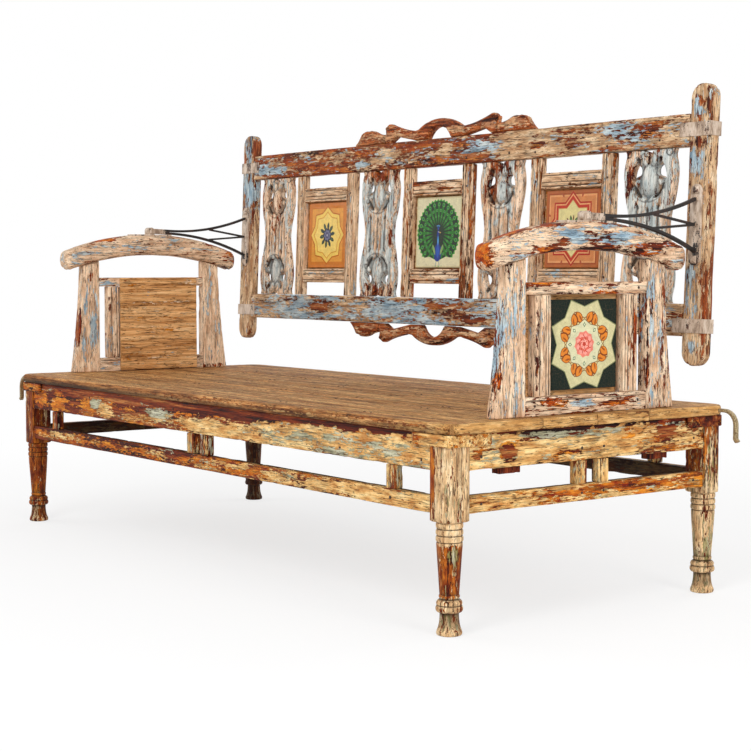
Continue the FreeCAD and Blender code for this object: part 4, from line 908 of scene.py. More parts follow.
run, proud, slant, tall = 128, 6, 10, 27
corner_x, corner_y = LEG_X + proud, LEG_Y + proud
bevel = LEG_CLIP + proud * (2 - 2 ** 0.5)
wrap = [(LEG_X, corner_y - run), (corner_x, corner_y - run + slant), (corner_x, corner_y - bevel),
        (corner_x - bevel, corner_y), (corner_x - run + slant, corner_y), (corner_x - run, LEG_Y),
        (LEG_X - LEG_CLIP, LEG_Y), (LEG_X, LEG_Y - LEG_CLIP)]
mouldings = joined([plate([(sign_x * x, sign_y * y) for x, y in wrap], tall, "z", SEAT_UNDER - tall / 2,
                          pitch=4, step=5, edge=2.4, rows=4, along="u", wild=0.7)
                    for sign_x in (-1, 1) for sign_y in (-1, 1)])
piece("mouldings", mouldings, BENCH, frame_paint_finish, "corner_mouldings",
      paint(0, [(-1040, 0.6, 0.3, 0.1), (0, 0.7, 0.5, 0), (1040, 0.7, 0.6, 0.1)],
            [((1039, 430, 418), (120, 130, 40), (0.25, 0.1, 0)),
             ((1039, -430, 418), (120, 130, 40), (0.8, 0.75, 0.1))]))

# ---------------------------------------------------------------- arms

TOP_ROUND, UNDER_ROUND, ARM_PEAK, ARM_TALL = 845, 918, 888, 66
ARM_GAP, ARM_FRAME_HALF = 188, 14
STICK_LOW, STICK_HIGH, HEAD_HIGH = 498, 723, 751


def arch_top(y):
    """Height of the arm rail's upper edge."""
    return ARM_PEAK - TOP_ROUND + (TOP_ROUND ** 2 - y ** 2) ** 0.5


def arch_under(y):
    """Height of the arm rail's lower edge."""
    return ARM_PEAK - ARM_TALL - UNDER_ROUND + (UNDER_ROUND ** 2 - y ** 2) ** 0.5


def bow(radius, chord):
    """How far an arc swells over its chord."""
    return radius - (radius ** 2 - chord ** 2 / 4) ** 0.5


arm_end, arm_tip = 288, 306
top_end, under_end = arch_top(arm_end), arch_under(arm_end)
rail_outline = [(-arm_end, under_end, -bow(UNDER_ROUND, 2 * arm_end)), (arm_end, under_end, 4),
                (arm_tip, under_end + 16, 2), (arm_tip, top_end - 16, 4),
                (arm_end, top_end, bow(TOP_ROUND, 2 * arm_end)), (-arm_end, top_end, 4),
                (-arm_tip, top_end - 16, 2), (-arm_tip, under_end + 16, 4)]
post_outline = [(-277, SEAT_TOP), (-ARM_GAP, SEAT_TOP), (-ARM_GAP, arch_under(ARM_GAP), bow(UNDER_ROUND, 59)),
                (-245, arch_under(245), -5)]

BARE = [(335, 0, 0, 0), (440, 0, 0, 0)]
arm_coats = {
    "right": {
        "rail": paint(1, [
            (-306, 0.5, 0.8, 0.3), (-190, 0.4, 0.8, 0.4), (0, 0.4, 0.75, 0.45), (120, 0.45, 0.75, 0.4),
            (220, 0.5, 0.65, 0.3), (306, 0.5, 0.7, 0.2)], [
            ((985, -312, 830), (60, 22, 40), (0.98, 0, 0)), ((988, -240, 862), (30, 70, 14), (0.9, 0.1, 0)),
            ((985, -140, 880), (24, 60, 9), (0.7, 0.3, 0)),
            ((1040, -280, 826), (20, 30, 22), (0.3, 0.9, 0.2)),
            ((1030, -60, 850), (30, 34, 14), (0.3, 0.7, 0.8)),
            ((1030, 90, 848), (30, 24, 8), (0.3, 0.7, 0.7)),
            ((1030, -150, 826), (30, 50, 8), (0.5, 0.3, 0.2)),
            ((1030, -90, 838), (30, 22, 10), (0.2, 0.1, 0.1)),
            ((1030, 30, 824), (30, 60, 7), (0.3, 0.1, 0)), ((1030, 30, 845), (30, 40, 10), (0.4, 0.2, 0.3)),
            ((1030, 150, 826), (30, 60, 12), (0.5, 0.3, 0.2))]),
        "front": paint(2, BARE + [
            (455, 0.5, 0.9, 0.3), (640, 0.4, 0.9, 0.4), (800, 0.4, 0.85, 0.4)], [
            ((1029, -225, 792), (14, 12, 20), (0.95, 0.1, 0)),
            ((1013, -270, 545), (30, 12, 24), (0.95, 0.2, 0)),
            ((1000, -262, 650), (22, 12, 90), (0.4, 0.5, 0.85))]),
        "rear": paint(2, BARE + [
            (455, 0.5, 0.8, 0.3), (560, 0.5, 0.7, 0.35), (700, 0.5, 0.7, 0.4), (800, 0.5, 0.75, 0.25)],
            spots_on(0, 1029, 14, [
            ((215, 505), (16, 18), (0.9, 0.3, 0)), ((205, 640), (9, 60), (0.3, 0.6, 0.8)),
            ((232, 720), (8, 60), (0.4, 0.2, 0.1))])),
        "rails": paint(1, [(-188, 0.6, 0.7, 0.1), (188, 0.6, 0.72, 0.2)], spots_on(0, 1013, 30, [
            ((-10, 478), (40, 9), (0.3, 0.6, 0.8)), ((90, 480), (50, 10), (0.5, 0.3, 0.1)),
            ((-100, 482), (40, 9), (0.6, 0.3, 0.1))])),
        "sticks": paint(2, [(498, 0.6, 0.9, 0.2), (723, 0.5, 0.95, 0.2)], [
            ((1013, 140, 610), (30, 14, 90), (0.6, 0.5, 0.2)),
            ((1013, -150, 610), (30, 8, 130), (0.5, 0.6, 0.1))]),
    },
    "left": {
        "rail": paint(1, [
            (-306, 0.4, 0.95, 0.4), (-200, 0.5, 0.85, 0.3), (0, 0.45, 0.85, 0.3), (306, 0.5, 0.7, 0.2)], [
            ((-998, 270, 815), (30, 50, 20), (0.9, 0.3, 0)),
            ((-990, -140, 872), (30, 60, 10), (0.9, 0.2, 0)),
            ((-990, -130, 845), (30, 30, 10), (0.5, 0.2, 0.2)),
            ((-990, 180, 850), (30, 60, 16), (0.6, 0.5, 0.2))]),
        "front": paint(2, BARE + [
            (455, 0.4, 0.98, 0.25), (560, 0.4, 0.95, 0.4), (800, 0.4, 0.95, 0.3)], [
            ((-1000, -262, 620), (40, 8, 70), (0.3, 0, 0)),
            ((-1000, -215, 760), (30, 10, 20), (0.7, 0.2, 0.1)),
            ((-1000, -215, 600), (20, 14, 50), (0.3, 0.5, 0.98))]),
        "rear": paint(2, BARE + [
            (455, 0.5, 0.95, 0.2), (700, 0.4, 0.98, 0.3), (800, 0.4, 0.95, 0.2)], [
            ((-1000, 240, 462), (30, 40, 8), (0.5, 0.1, 0.1))]),
        "rails": paint(1, [(-188, 0.5, 0.8, 0.3), (188, 0.5, 0.85, 0.3)]),
        "sticks": paint(2, [(498, 0.5, 0.8, 0.3), (723, 0.5, 0.85, 0.3)]),
    },
}
for end, sign in (("right", 1), ("left", -1)):
    coats = arm_coats[end]
    place = sign * ARM_X
    rail = plate(rail_outline, 62, "x", place, pitch=5, step=7, edge=19, rows=5, along="u", wild=1.5)
    piece("arm_rail_" + end, rail, BENCH, arm_finish, "arm_%s_rail" % end, coats["rail"])
    for row, side in (("front", 1), ("rear", -1)):
        outline = post_outline if side > 0 else mirrored(post_outline, 0)
        cheek = plate(outline, 32, "x", place, pitch=5, step=7, edge=3.4, rows=4, wild=1.2)
        tenon_low, tenon_high = sorted((-side * 200, -side * 262))
        tenon = block((place - 13, tenon_low, 335), (place + 13, tenon_high, SEAT_TOP - 1), "z", edge=2)
        piece("arm_post_%s_%s" % (end, row), cheek + tenon, BENCH, arm_finish,
              "arm_%s_post_%s" % (end, row), coats[row])
    near, far = place - ARM_FRAME_HALF, place + ARM_FRAME_HALF
    lower = block((near, -ARM_GAP, SEAT_TOP), (far, ARM_GAP, STICK_LOW), "y", edge=2.6,
                  grooves=[(2, STICK_LOW - 9, 3, 1.4, 0)])
    upper = block((near, -ARM_GAP, STICK_HIGH), (far, ARM_GAP, HEAD_HIGH), "y", edge=2.6)
    piece("arm_rails_" + end, lower + upper, BENCH, arm_finish, "arm_%s_frame_rails" % end,
          coats["rails"])
    sticks = []
    for side in (-1, 1):
        low, high = sorted((side * 112.5, side * 157.5))
        marks = [(1, side * 119, 4, 2.2, 0), (1, side * 127, 3, 1.2, 0), (1, side * 145, 4, 1.8, 0)]
        sticks.append(block((near, low, STICK_LOW), (far, high, STICK_HIGH), "z", edge=2.2, grooves=marks))
    piece("arm_sticks_" + end, joined(sticks), BENCH, arm_finish, "arm_%s_tile_stiles" % end,
          coats["sticks"])
    near, far = sorted((place - sign * ARM_FRAME_HALF, place - sign * (ARM_FRAME_HALF + 8)))
    low, high = sorted((sign * 118, -sign * 160))
    board = block((near, low, SEAT_TOP + 3), (far, high, HEAD_HIGH - 1), "y", edge=1.6, step=10, wild=0.5)
    piece("arm_board_" + end, board, BENCH, board_finish, "arm_%s_tile_board" % end,
          paint(1, [(-160, 0.25, 0.1, 0), (160, 0.1, 0.25, 0)]))

# ---------------------------------------------------------------- the back's wood

stile_coats = {
    "right": paint(2, [
        (-337, 0.55, 0.8, 0.2), (-180, 0.55, 0.8, 0.2), (0, 0.55, 0.8, 0.15), (170, 0.5, 0.75, 0.3),
        (337, 0.4, 0.8, 0.3)], [
        ((985, BACK_FACE, -115), (16, 40, 26), (0.6, 0.4, 0.85)),
        ((997, BACK_FACE, -290), (15, 40, 15), (0.3, 0.4, 0.98)),
        ((1030, 380, -200), (6, 60, 130), (0.65, 0.5, 0)),
        ((985, BACK_FACE, 150), (20, 40, 24), (0.5, 0.5, 0.85)),
        ((990, BACK_FACE, 195), (26, 40, 9), (0.3, 0.2, 0)),
        ((990, BACK_FACE, 285), (10, 40, 20), (0.4, 0.2, 0.8)),
        ((1005, BACK_FACE, 290), (14, 40, 14), (0.6, 0.2, 0)),
        ((985, BACK_FACE, 10), (9, 40, 60), (0.1, 0.3, 0.3))]),
    "left": paint(2, [
        (-337, 0.5, 0.8, 0.1), (-100, 0.5, 0.85, 0.1), (50, 0.5, 0.75, 0.3), (200, 0.5, 0.6, 0.5),
        (337, 0.4, 0.6, 0.5)], spots_on(1, BACK_FACE, 40, [
        ((-985, 150), (24, 30), (0.4, 0.5, 0.9)), ((-965, 290), (14, 26), (0.3, 0.1, 0)),
        ((-1020, 250), (10, 26), (0.3, 0.15, 0)), ((-1010, 30), (10, 60), (0.5, 0.4, 0.1))])),
}
for end, sign in (("right", 1), ("left", -1)):
    x0, x1 = sign * ARM_X - 34.5, sign * ARM_X + 34.5
    outline = [(x0, -302.5, 34.5), (x1, -302.5), (x1, 302.5, 34.5), (x0, 302.5)]
    shape = plate(outline, BACK_REAR - BACK_FACE, "y", BACK_MIDDLE, pitch=5, step=8, edge=5.5, rows=4,
                  wild=1.5)
    piece("stile_" + end, shape, BACK, back_finish, "back_stile_" + end, stile_coats[end])

rail_coats = {
    "top": paint(0, [
        (-962, 0.5, 0.6, 0.4), (-800, 0.6, 0.4, 0.3), (-700, 0.6, 0.4, 0.15), (-400, 0.6, 0.42, 0.15),
        (-100, 0.55, 0.4, 0.15), (150, 0.5, 0.35, 0.2), (240, 0.5, 0.6, 0.35), (330, 0.65, 0.8, 0.1),
        (600, 0.6, 0.7, 0.15), (760, 0.5, 0.65, 0.45), (962, 0.55, 0.75, 0.3)], spots_on(1, BACK_FACE, 60, [
        ((-250, 225), (50, 22), (0.5, 0.9, 0.5)), ((-880, 215), (80, 12), (0.3, 0.5, 0.9)),
        ((-560, 205), (70, 14), (0.7, 0.2, 0.1)), ((180, 235), (50, 20), (0.3, 0.2, 0.6)),
        ((-360, 205), (26, 14), (0.3, 0.6, 0.85)), ((40, 230), (20, 18), (0.5, 0.9, 0.2)),
        ((560, 230), (60, 20), (0.5, 0.35, 0.1)), ((850, 235), (60, 20), (0.6, 0.25, 0.1)),
        ((720, 240), (40, 16), (0.5, 0.6, 0.75)), ((430, 220), (30, 14), (0.4, 0.3, 0.2))])),
    "bottom": paint(0, [
        (-962, 0.5, 0.8, 0.4), (-700, 0.5, 0.75, 0.6), (-400, 0.5, 0.8, 0.45), (-100, 0.5, 0.65, 0.62),
        (100, 0.5, 0.65, 0.5), (300, 0.45, 0.75, 0.62), (700, 0.5, 0.8, 0.4), (962, 0.5, 0.8, 0.3)],
        spots_on(1, BACK_FACE, 60, [
        ((-560, -220), (60, 18), (0.4, 0.3, 0.1)), ((60, -225), (70, 20), (0.4, 0.3, 0.1)),
        ((210, -250), (50, 9), (0.3, 0.2, 0)), ((-230, -215), (60, 16), (0.3, 0.3, 0.95)),
        ((900, -225), (60, 20), (0.6, 0.6, 0.2))])),
}
for name, sign in (("top", 1), ("bottom", -1)):
    low, high = sorted((sign * RAIL_INNER, sign * RAIL_OUTER))
    shape = block((-962.5, BACK_FACE, low), (962.5, BACK_REAR, high), "x", edge=4.5, step=12, wild=1.3)
    piece("rail_" + name, shape, BACK, back_finish, "back_rail_" + name, rail_coats[name])


def groove(off, width, deep):
    """Depth of a rounded groove at a distance from its middle line."""
    return deep * np.sqrt(np.clip(1 - abs(off) / (width / 2), 0, 1))


def crescent(x, y, middle_y, radius, first, last, width, deep):
    """Depth of a cut about (0, middle_y) that is widest half-way between two angles."""
    share = (np.degrees(np.arctan2(y - middle_y, x)) - first) / (last - first)
    body = np.sqrt(np.clip(4 * share * (1 - share), 0, 1))
    return groove(np.hypot(x, y - middle_y) - radius, width * body + 0.01, deep) * (body > 0)


def oval(x, y, middle, reach, turn=0.0):
    """How far out a point is in an oval: 0 in its middle and 1 on its rim."""
    x, y = x - middle[0], y - middle[1]
    turn = radians(turn)
    return np.hypot((x * cos(turn) + y * sin(turn)) / reach[0], (y * cos(turn) - x * sin(turn)) / reach[1])


def splat_relief(x, y):
    """Carving on a splat, from its middle: buds in lowered rings, leaf curls and flutes, with painted shade
    in the lowered rings, outlines and cuts.
    """
    x, high = abs(x), abs(y)
    ring = np.clip((58 - np.hypot(x, high - 118)) / 3, 0, 1) * np.clip((high - 64) / 5, 0, 1)
    depth = 6.5 * ring * np.clip((174 - high) / 8, 0, 1)
    dark = 0.55 * ring
    for middle, reach, turn, top in (((0, 114), (24.5, 41), 0, 0.4), ((43, 105), (16, 7.5), -42, 1.0),
                                     ((22, 71), (22, 7), 22, 0.0), ((14, 163), (11, 15), -16, 0.5)):
        out = oval(x, high, middle, reach, turn)
        depth = np.where(out < 1, np.minimum(depth, top + (6.5 - top) * out ** 4), depth)
        dark = np.where(out < 1, dark * out ** 6, dark)
        line = np.clip(1 - abs(out - 1.08) * min(reach) / 2.4, 0, 1)
        dark = np.maximum(dark, 0.9 * line)
    cuts = [(crescent(x, high, 118, 51, -12, -70, 13, 9.5), 6)]
    cuts.append((8 * np.clip(1.6 - 1.6 * oval(x, high, (37, 163), (8, 11), -25), 0, 1), 5))
    for flute, width, deep in ((0, 7, 5.5), (17.5, 5, 2.6), (36, 7, 5.5), (54, 5, 2.2)):
        end = 40 if flute == 0 else 50
        cuts.append((groove(x - flute, width, deep) * np.sqrt(np.clip((end - high) / 6, 0, 1)), 4.5))
        if width == 7:
            point = np.clip((end + 14 - high) / 14, 0, 1) * (high > end - 8)
            off = x - flute - 0.3 * (high - end) * (flute > 0)
            cuts.append((groove(off, 11 * point + 0.01, 7 * point), 5))
    cuts.append((groove(np.hypot(x - 68, high - 180) - 9, 4, 3), 3))
    cuts.append((groove(x - 68 - 2 * np.sin(high / 19), 4, 1.8) * (high > 70) * (high < 168), 5))
    for cut, full in cuts:
        depth = np.maximum(depth, cut)
        dark = np.maximum(dark, np.clip(cut / full, 0, 1))
    return depth, dark


quarter = [(62, 0, -2.5), (75, 62, 1.5), (84.5, 125, 2), (77, 169, -1.5), (81, RAIL_INNER),
           (22, RAIL_INNER), (9, 183, -4), (0, 170)]
half_top = quarter + mirrored(quarter, 0)[1:-1]
splat_outline = half_top + [(-62, 0, -2.5)] + mirrored(half_top + [(-62, 0)], 1)[1:-1]
eye = trace([(60, 114, 5), (43, 158, -1), (30, 148, 2), (24, 135, 2), (30, 125, -1), (45, 119, -1)], 2.2)
splat_coats = {
    -3: paint(2, [(0, 0.55, 0.8, 0.4)], spots_on(1, BACK_FACE, 60, [
        ((-829, 60), (60, 60), (0.75, 0.6, 0.1)), ((-829, -110), (36, 40), (0.5, 0.6, 0.85)),
        ((-770, 100), (20, 90), (0.3, 0.85, 0.6))])),
    -1: paint(2, [(0, 0.5, 0.8, 0.65)], spots_on(1, BACK_FACE, 60, [
        ((-276, 172), (80, 18), (0.8, 0.3, 0.1)), ((-276, -172), (80, 18), (0.6, 0.5, 0.3)),
        ((-276, 20), (30, 60), (0.5, 0.95, 0.3))])),
    1: paint(2, [(0, 0.5, 0.85, 0.4)], spots_on(1, BACK_FACE, 60, [
        ((240, 110), (24, 60), (0.5, 0.35, 0.2)), ((276, 170), (60, 16), (0.7, 0.4, 0.2)),
        ((310, 120), (24, 60), (0.4, 0.8, 0.7)), ((276, -110), (40, 50), (0.5, 0.8, 0.5))])),
    3: paint(2, [(0, 0.45, 0.85, 0.55)], spots_on(1, BACK_FACE, 60, [
        ((829, 112), (26, 40), (0.3, 0.5, 0.98)), ((829, 174), (80, 12), (0.6, 0.6, 0.4)),
        ((829, -90), (60, 26), (0.6, 0.6, 0.1)), ((890, 120), (14, 60), (0.3, 0.6, 0.95)),
        ((770, 110), (12, 40), (0.6, 0.5, 0.2))])),
}
for name, step in (("far_left", -3), ("left", -1), ("right", 1), ("far_right", 3)):
    middle = step * BAY
    outline = [(corner[0] + middle,) + corner[1:] for corner in splat_outline]
    holes = [eye * (sign_x, sign_y) + (middle, 0) for sign_x in (-1, 1) for sign_y in (-1, 1)]
    shape = plate(outline, 24, "y", BACK_MIDDLE, pitch=3, step=2.3, edge=3.6, holes=holes, wild=1.2,
                  relief=lambda x, y, middle=middle: splat_relief(x - middle, y))
    piece("carved_splat_" + name, shape, BACK, splat_finish, "splat_" + name,
          splat_coats[step])

crest_right = [(52, 0), (108, 0), (198, 17), (228, 0), (408, 0, -3), (372, 35, 9), (300, 35, -2), (250, 27),
               (252, 38, 5), (246, 50, 3), (228, 56, -4), (112, 30), (95, 32, 7), (0, 58, 7)]
crest_loop = crest_right + mirrored(crest_right, 0)[1:]
crest_loop[-1] = crest_loop[-1][:2] + (-33,)


def crest_relief(x, y):
    """Grooves that run along a crest's ribbon and lobes, and the eye of its curl, darkened with painted
    shade.
    """
    x = abs(x)
    high = abs(y) - RAIL_OUTER
    middle = np.interp(x, [0, 50, 95, 130, 240, 250, 300, 336, 380], [46, 40, 16, 22, 42, 12, 16, 26, 8])
    line = 1.8 * np.clip(1 - abs(high - middle) / 2.4, 0, 1) * (x < 385)
    eye = 3 * np.clip(1 - abs(np.hypot(x - 240, high - 42) - 6) / 2, 0, 1)
    cut = 4 * np.clip(1 - abs(x - 252 - high * 0.15) / 3, 0, 1) * (high < 30)
    depth = np.maximum(np.maximum(line, eye), cut)
    return depth, np.clip(depth / 3, 0, 1)


for name, sign in (("top", 1), ("bottom", -1)):
    loop = [(corner[0], RAIL_OUTER + corner[1]) + corner[2:] for corner in crest_loop]
    if sign < 0:
        loop = mirrored(loop, 1)
    shape = plate(loop, 28, "y", BACK_MIDDLE, pitch=3.5, step=4.5, edge=9, along="u", relief=crest_relief,
                  wild=1.4)
    piece("scrolled_crest_" + name, shape, BACK, crest_finish, "crest_" + name,
          paint(0, [(-408, 0.6, 0.5, 0), (0, 0.5, 0.45, 0.1), (408, 0.55, 0.55, 0)]))

frame_coats = {
    -2: [(-197, 0.55, 0.9, 0.2), (197, 0.5, 0.85, 0.2)],
    0: [(-197, 0.7, 0.6, 0.15), (197, 0.7, 0.65, 0.15)],
    2: [(-197, 0.55, 0.85, 0.3), (197, 0.6, 0.75, 0.2)],
}
boards = []
for name, step in (("left", -2), ("middle", 0), ("right", 2)):
    middle = step * BAY
    sticks = []
    for side in (-1, 1):
        low, high = sorted((middle + side * 112.5, middle + side * 155.5))
        marks = [(0, middle + side * 119, 4, 2.4, 1), (0, middle + side * 128, 3.4, 1.6, 1),
                 (0, middle + side * 147, 3.4, 1.6, 1)]
        sticks.append(block((low, FRAME_NEAR, -RAIL_INNER), (high, FRAME_FAR, RAIL_INNER), "z", edge=2.4,
                            grooves=marks))
        low, high = sorted((side * 105, side * 148))
        marks = [(2, side * 112, 4, 2.4, 1), (2, side * 122, 3.4, 1.6, 1), (2, side * 140, 3.4, 1.6, 1)]
        sticks.append(block((middle - 112.5, FRAME_NEAR, low), (middle + 112.5, FRAME_FAR, high), "x",
                            edge=2.4, grooves=marks))
    piece("tile_surround_" + name, joined(sticks), BACK, stick_finish, "tile_frame_" + name,
          paint(2, frame_coats[step]))
    boards.append(block((middle - 137.5, FRAME_FAR, -130), (middle + 137.5, FRAME_FAR + 6, 130), "x",
                        edge=1.2, wild=0.5))
piece("boards_behind_tiles", joined(boards), BACK, board_finish, "back_tile_boards",
      paint(0, [(-700, 0.2, 0.2, 0), (700, 0.2, 0.2, 0)]))


# ---------------------------------------------------------------- tiles

def star(points, outer, inner, turn=0.0):
    """A star's corners, first an outer one at the angle `turn` in degrees."""
    made = []
    for spot in range(2 * points):
        radius = inner if spot % 2 else outer
        angle = radians(turn + spot * 180 / points)
        made.append((radius * cos(angle), radius * sin(angle)))
    return np.array(made)


def disc(x, y, radius, sides, tall=1.0):
    """A round or oval shape."""
    turns = np.arange(sides) * 2 * pi / sides
    return np.stack([x + radius * np.cos(turns), y + radius * tall * np.sin(turns)], axis=1)


def leaf(x, y, length, width, angle):
    """A pointed leaf from (x, y) outward."""
    share = np.linspace(0, 1, 9)
    swell = width / 2 * np.sin(pi * share) ** 0.8
    upper = np.stack([share * length, swell], axis=1)
    lower = np.stack([share[-2:0:-1] * length, -swell[-2:0:-1]], axis=1)
    made = np.concatenate([upper, lower])
    turn = radians(angle)
    return np.stack([x + made[:, 0] * cos(turn) - made[:, 1] * sin(turn),
                     y + made[:, 0] * sin(turn) + made[:, 1] * cos(turn)], axis=1)


def around(radius, angle):
    """The spot at a radius and an angle in degrees from the middle."""
    return radius * cos(radians(angle)), radius * sin(radians(angle))


def rose_star():
    """A cream star on dark green, with a ring of leaves, small lozenges and a rose."""
    made = [(star(8, 109, 86, 22.5), "868A5E"), (star(8, 106, 84, 22.5), "D0C898"),
            (star(8, 80, 60, 22.5), "7A3410"), (star(8, 77, 58, 22.5), "D6C284")]
    for spot in range(8):
        angle = 22.5 + spot * 45
        for side in (-1, 1):
            for radius, off, length, width, tone in (
                    (48, 13, 32, 22, "7A3410"), (50.5, 13, 27, 17, "DD822A"), (52, 15, 18, 4, "9A4A18")):
                shape = leaf(*around(radius, angle + side * off), length, width, angle - side * 12)
                made.append((shape, tone))
    made += [(star(8, 58, 49), "7A5A30"), (star(8, 56, 47.5), "D8D4AC")]
    for spot in range(8):
        lozenge = star(2, 6, 4.4, spot * 45)
        made.append((lozenge + np.array(around(44, spot * 45)), "4F6A48"))
        made.append((lozenge * 0.55 + np.array(around(44, spot * 45)), "DCE0C0"))
    made.append((star(10, 31, 27, 9), "E8806E"))
    rings = ((26, 9, "F2A092"), (19, 7, "DE6250"), (13, 6, "F2A898"), (6, 5, "C8402E"))
    for ring, (radius, petals, tone) in enumerate(rings):
        made.append((star(petals, radius, radius * 0.8, 17 * ring), tone))
        for spot in range(petals):
            angle = 360 * spot / petals + 13 * ring
            made.append((leaf(*around(radius * 0.55, angle), radius * 0.42, 2.4, angle + 50), "C2412E"))
    return "081A10", made


def yellow_star():
    """A yellow eight-pointed star on orange, with a dark rosette."""
    square = np.array([(-92, -92), (92, -92), (92, 92), (-92, 92)])
    made = [(square, "CE7A2A"), (square * 0.9, "E29C40"), (star(8, 92, 76), "C0661C"),
            (star(8, 87, 72), "F0CC62"), (star(8, 74, 61), "D8922E"), (star(8, 70, 58), "F2D272")]
    for spot in range(10):
        angle = spot * 36 + 9
        made.append((leaf(*around(17, angle), 24, 12, angle), "1F2A24" if spot % 2 else "31462F"))
        made.append((leaf(*around(20, angle), 16, 5, angle), "4E6A48" if spot % 2 else "27333A"))
    made += [(star(10, 25, 20), "2B3039"), (star(8, 19, 14, 11), "6C6F8C"), (star(6, 12, 8), "4A4A6E"),
             (disc(0, 0, 4, 12), "A9A6B8")]
    return "D07C34", made


def fan_bird():
    """A blue bird before a green fan of feathers, on cream."""
    made = [(np.array([(-96, -96), (96, -96), (96, 96), (-96, 96)]), "DCD4AC"),
            (star(44, 98, 92, 3) + (0, -2), "279420"), (disc(0, -2, 91, 48), "062A0E")]
    for spot in range(24):
        made.append((leaf(*(np.array(around(26, spot * 15)) + (0, -2)), 66, 8, spot * 15), "187018"))
        for radius, off, size in ((82, 0, 6), (65, 7.5, 4.4), (48, 0, 3.4)):
            eye_x, eye_y = around(radius, spot * 15 + off)
            made.append((disc(eye_x, eye_y - 2, size, 10), "4AA82A"))
            made.append((disc(eye_x, eye_y - 2, size * 0.55, 8), "0B2A4A"))
    made.append((np.array([(-96, -96), (96, -96), (96, -60), (66, -74), (38, -70), (14, -78), (-14, -78),
                           (-38, -70), (-66, -74), (-96, -60)]), "DCD4AC"))
    fan = len(made)
    body = trace([(-14, -62, 5), (0, -76, 4), (14, -62, 6), (11, -32, -3), (4, -12, -1), (5, 6, 7),
                  (-5, 6, 1), (-4, -12, -3), (-11, -32, 6)], 4)
    made += [(disc(0, -14, 24, 24, 1.6), "082610"), (body, "102E82"), (leaf(0, -68, 44, 15, 90), "1F4EA8"),
             (leaf(0, -30, 28, 6, 90), "4FA0DC"), (leaf(4, 8, 9, 3.4, -12), "C9A24A"),
             (disc(1.5, 9, 1.4, 8), "F2F0DC")]
    for angle in (70, 90, 110):
        made.append((leaf(0, 12, 15, 2.2, angle), "123A9A"))
        x, y = around(15, angle)
        made.append((disc(x, y + 12, 2, 8), "4FA0DC"))
    for side in (-1, 1):
        made.append((leaf(side * 5, -72, 20, 3, -90 + side * 12), "8FA0A0"))
        made.append((leaf(side * 11, -58, 34, 9, 90 - side * 22), "7FA05A"))
    return "D2C69A", made[:fan] + [(loop + (0, -8), tone) for loop, tone in made[fan:]]


def red_star():
    """A red double star on orange round a cream field with a leafy spray."""
    square = np.array([(-93, -93), (93, -93), (93, 93), (-93, 93)])
    made = [(square, "9E4A1C"), (square * 0.955, "DE9A60"), (square * 0.9, "CC8048"),
            (star(8, 98, 75), "A8240E"), (star(8, 92, 70), "E09C64"), (star(8, 87, 66), "B82E14"),
            (star(8, 76, 58), "C89A5C"), (star(8, 73, 56), "DCCF8E")]
    for spot in range(8):
        angle = 22.5 + 45 * spot
        made.append((leaf(*around(88, angle), 12, 6, angle), "A84A28"))
    for spot in range(8):
        angle = spot * 45 + 12
        made.append((leaf(*around(9, angle), 27, 10, angle), "3C5A30"))
        made.append((leaf(*around(12, angle), 18, 3.4, angle), "7F9A52"))
        made.append((leaf(*around(20, angle + 22), 16, 5, angle + 30), "6A4426"))
    made += [(star(8, 13, 9), "8E4A3A"), (star(6, 7, 5), "D9C08A")]
    return "B0602C", made


def tile(name, design, plane, at, middle, home, facing):
    """A glazed tile whose painted shapes are cut into its face."""
    ground, shapes = design
    half = TILE_HALF - 0.2
    outline = [(middle[0] + x * half, middle[1] + y * half) for x, y in ((-1, -1), (1, -1), (1, 1), (-1, 1))]
    loops = [(np.array(loop) * (facing, 1) + np.array(middle), tone) for loop, tone in shapes]
    made = plate(outline, 8, plane, at, pitch=6, step=9, edge=1.2, rows=1, wild=0.25,
                 lines=[loop for loop, _ in loops])
    centres = made.flat[made.triangles].mean(1)
    colours = np.tile(tint(ground), (len(made.faces), 1))
    face = len(made.triangles)
    for loop, tone in loops:
        covered = within(centres, [loop])
        colours[:face][covered] = tint(tone)
        colours[face:2 * face][covered] = tint(tone)
    shown = piece(name, made, home, glaze_finish, name.replace("glazed_", ""))
    shown.data.attributes.new("glaze", "FLOAT_COLOR", "FACE").data.foreach_set("color", colours.ravel())


for name, design, step in (("left", yellow_star(), -2), ("middle", fan_bird(), 0), ("right", red_star(), 2)):
    tile("glazed_tile_" + name, design, "y", FRAME_FAR - 4, (step * BAY, 0), BACK, 1)
for name, sign in (("right", 1), ("left", -1)):
    tile("glazed_arm_%s_tile" % name, rose_star(), "x", sign * (ARM_X - 2), (0, (STICK_LOW + STICK_HIGH) / 2),
         BENCH, sign)

# ---------------------------------------------------------------- iron

for name, finish in (("fork_left", fork_finish), ("fork_right", fork_finish), ("fork_bolts", strap_finish),
                     ("arm_left_lug", lug_finish), ("arm_right_lug", lug_finish), ("pivot_pins", lug_finish),
                     ("rail_straps", strap_finish), ("hook_rear_right", hook_finish),
                     ("hook_front_left", hook_finish)):
    node = frame["nodes"][name]
    if not node.data.materials:
        node.data.materials.append(None)
    for spot in range(len(node.data.materials)):
        node.data.materials[spot] = finish
    weld = node.modifiers.new("weld", "WELD")
    weld.merge_threshold = 0.00005
    soften = node.modifiers.new("soften", "BEVEL")
    soften.width = 0.0007 if name == "rail_straps" else 0.0016
    soften.segments = 2
    soften.limit_method = "ANGLE"
    soften.angle_limit = radians(35)

HEAD_SIZE = (0.0034, 0.0034, 0.0016)


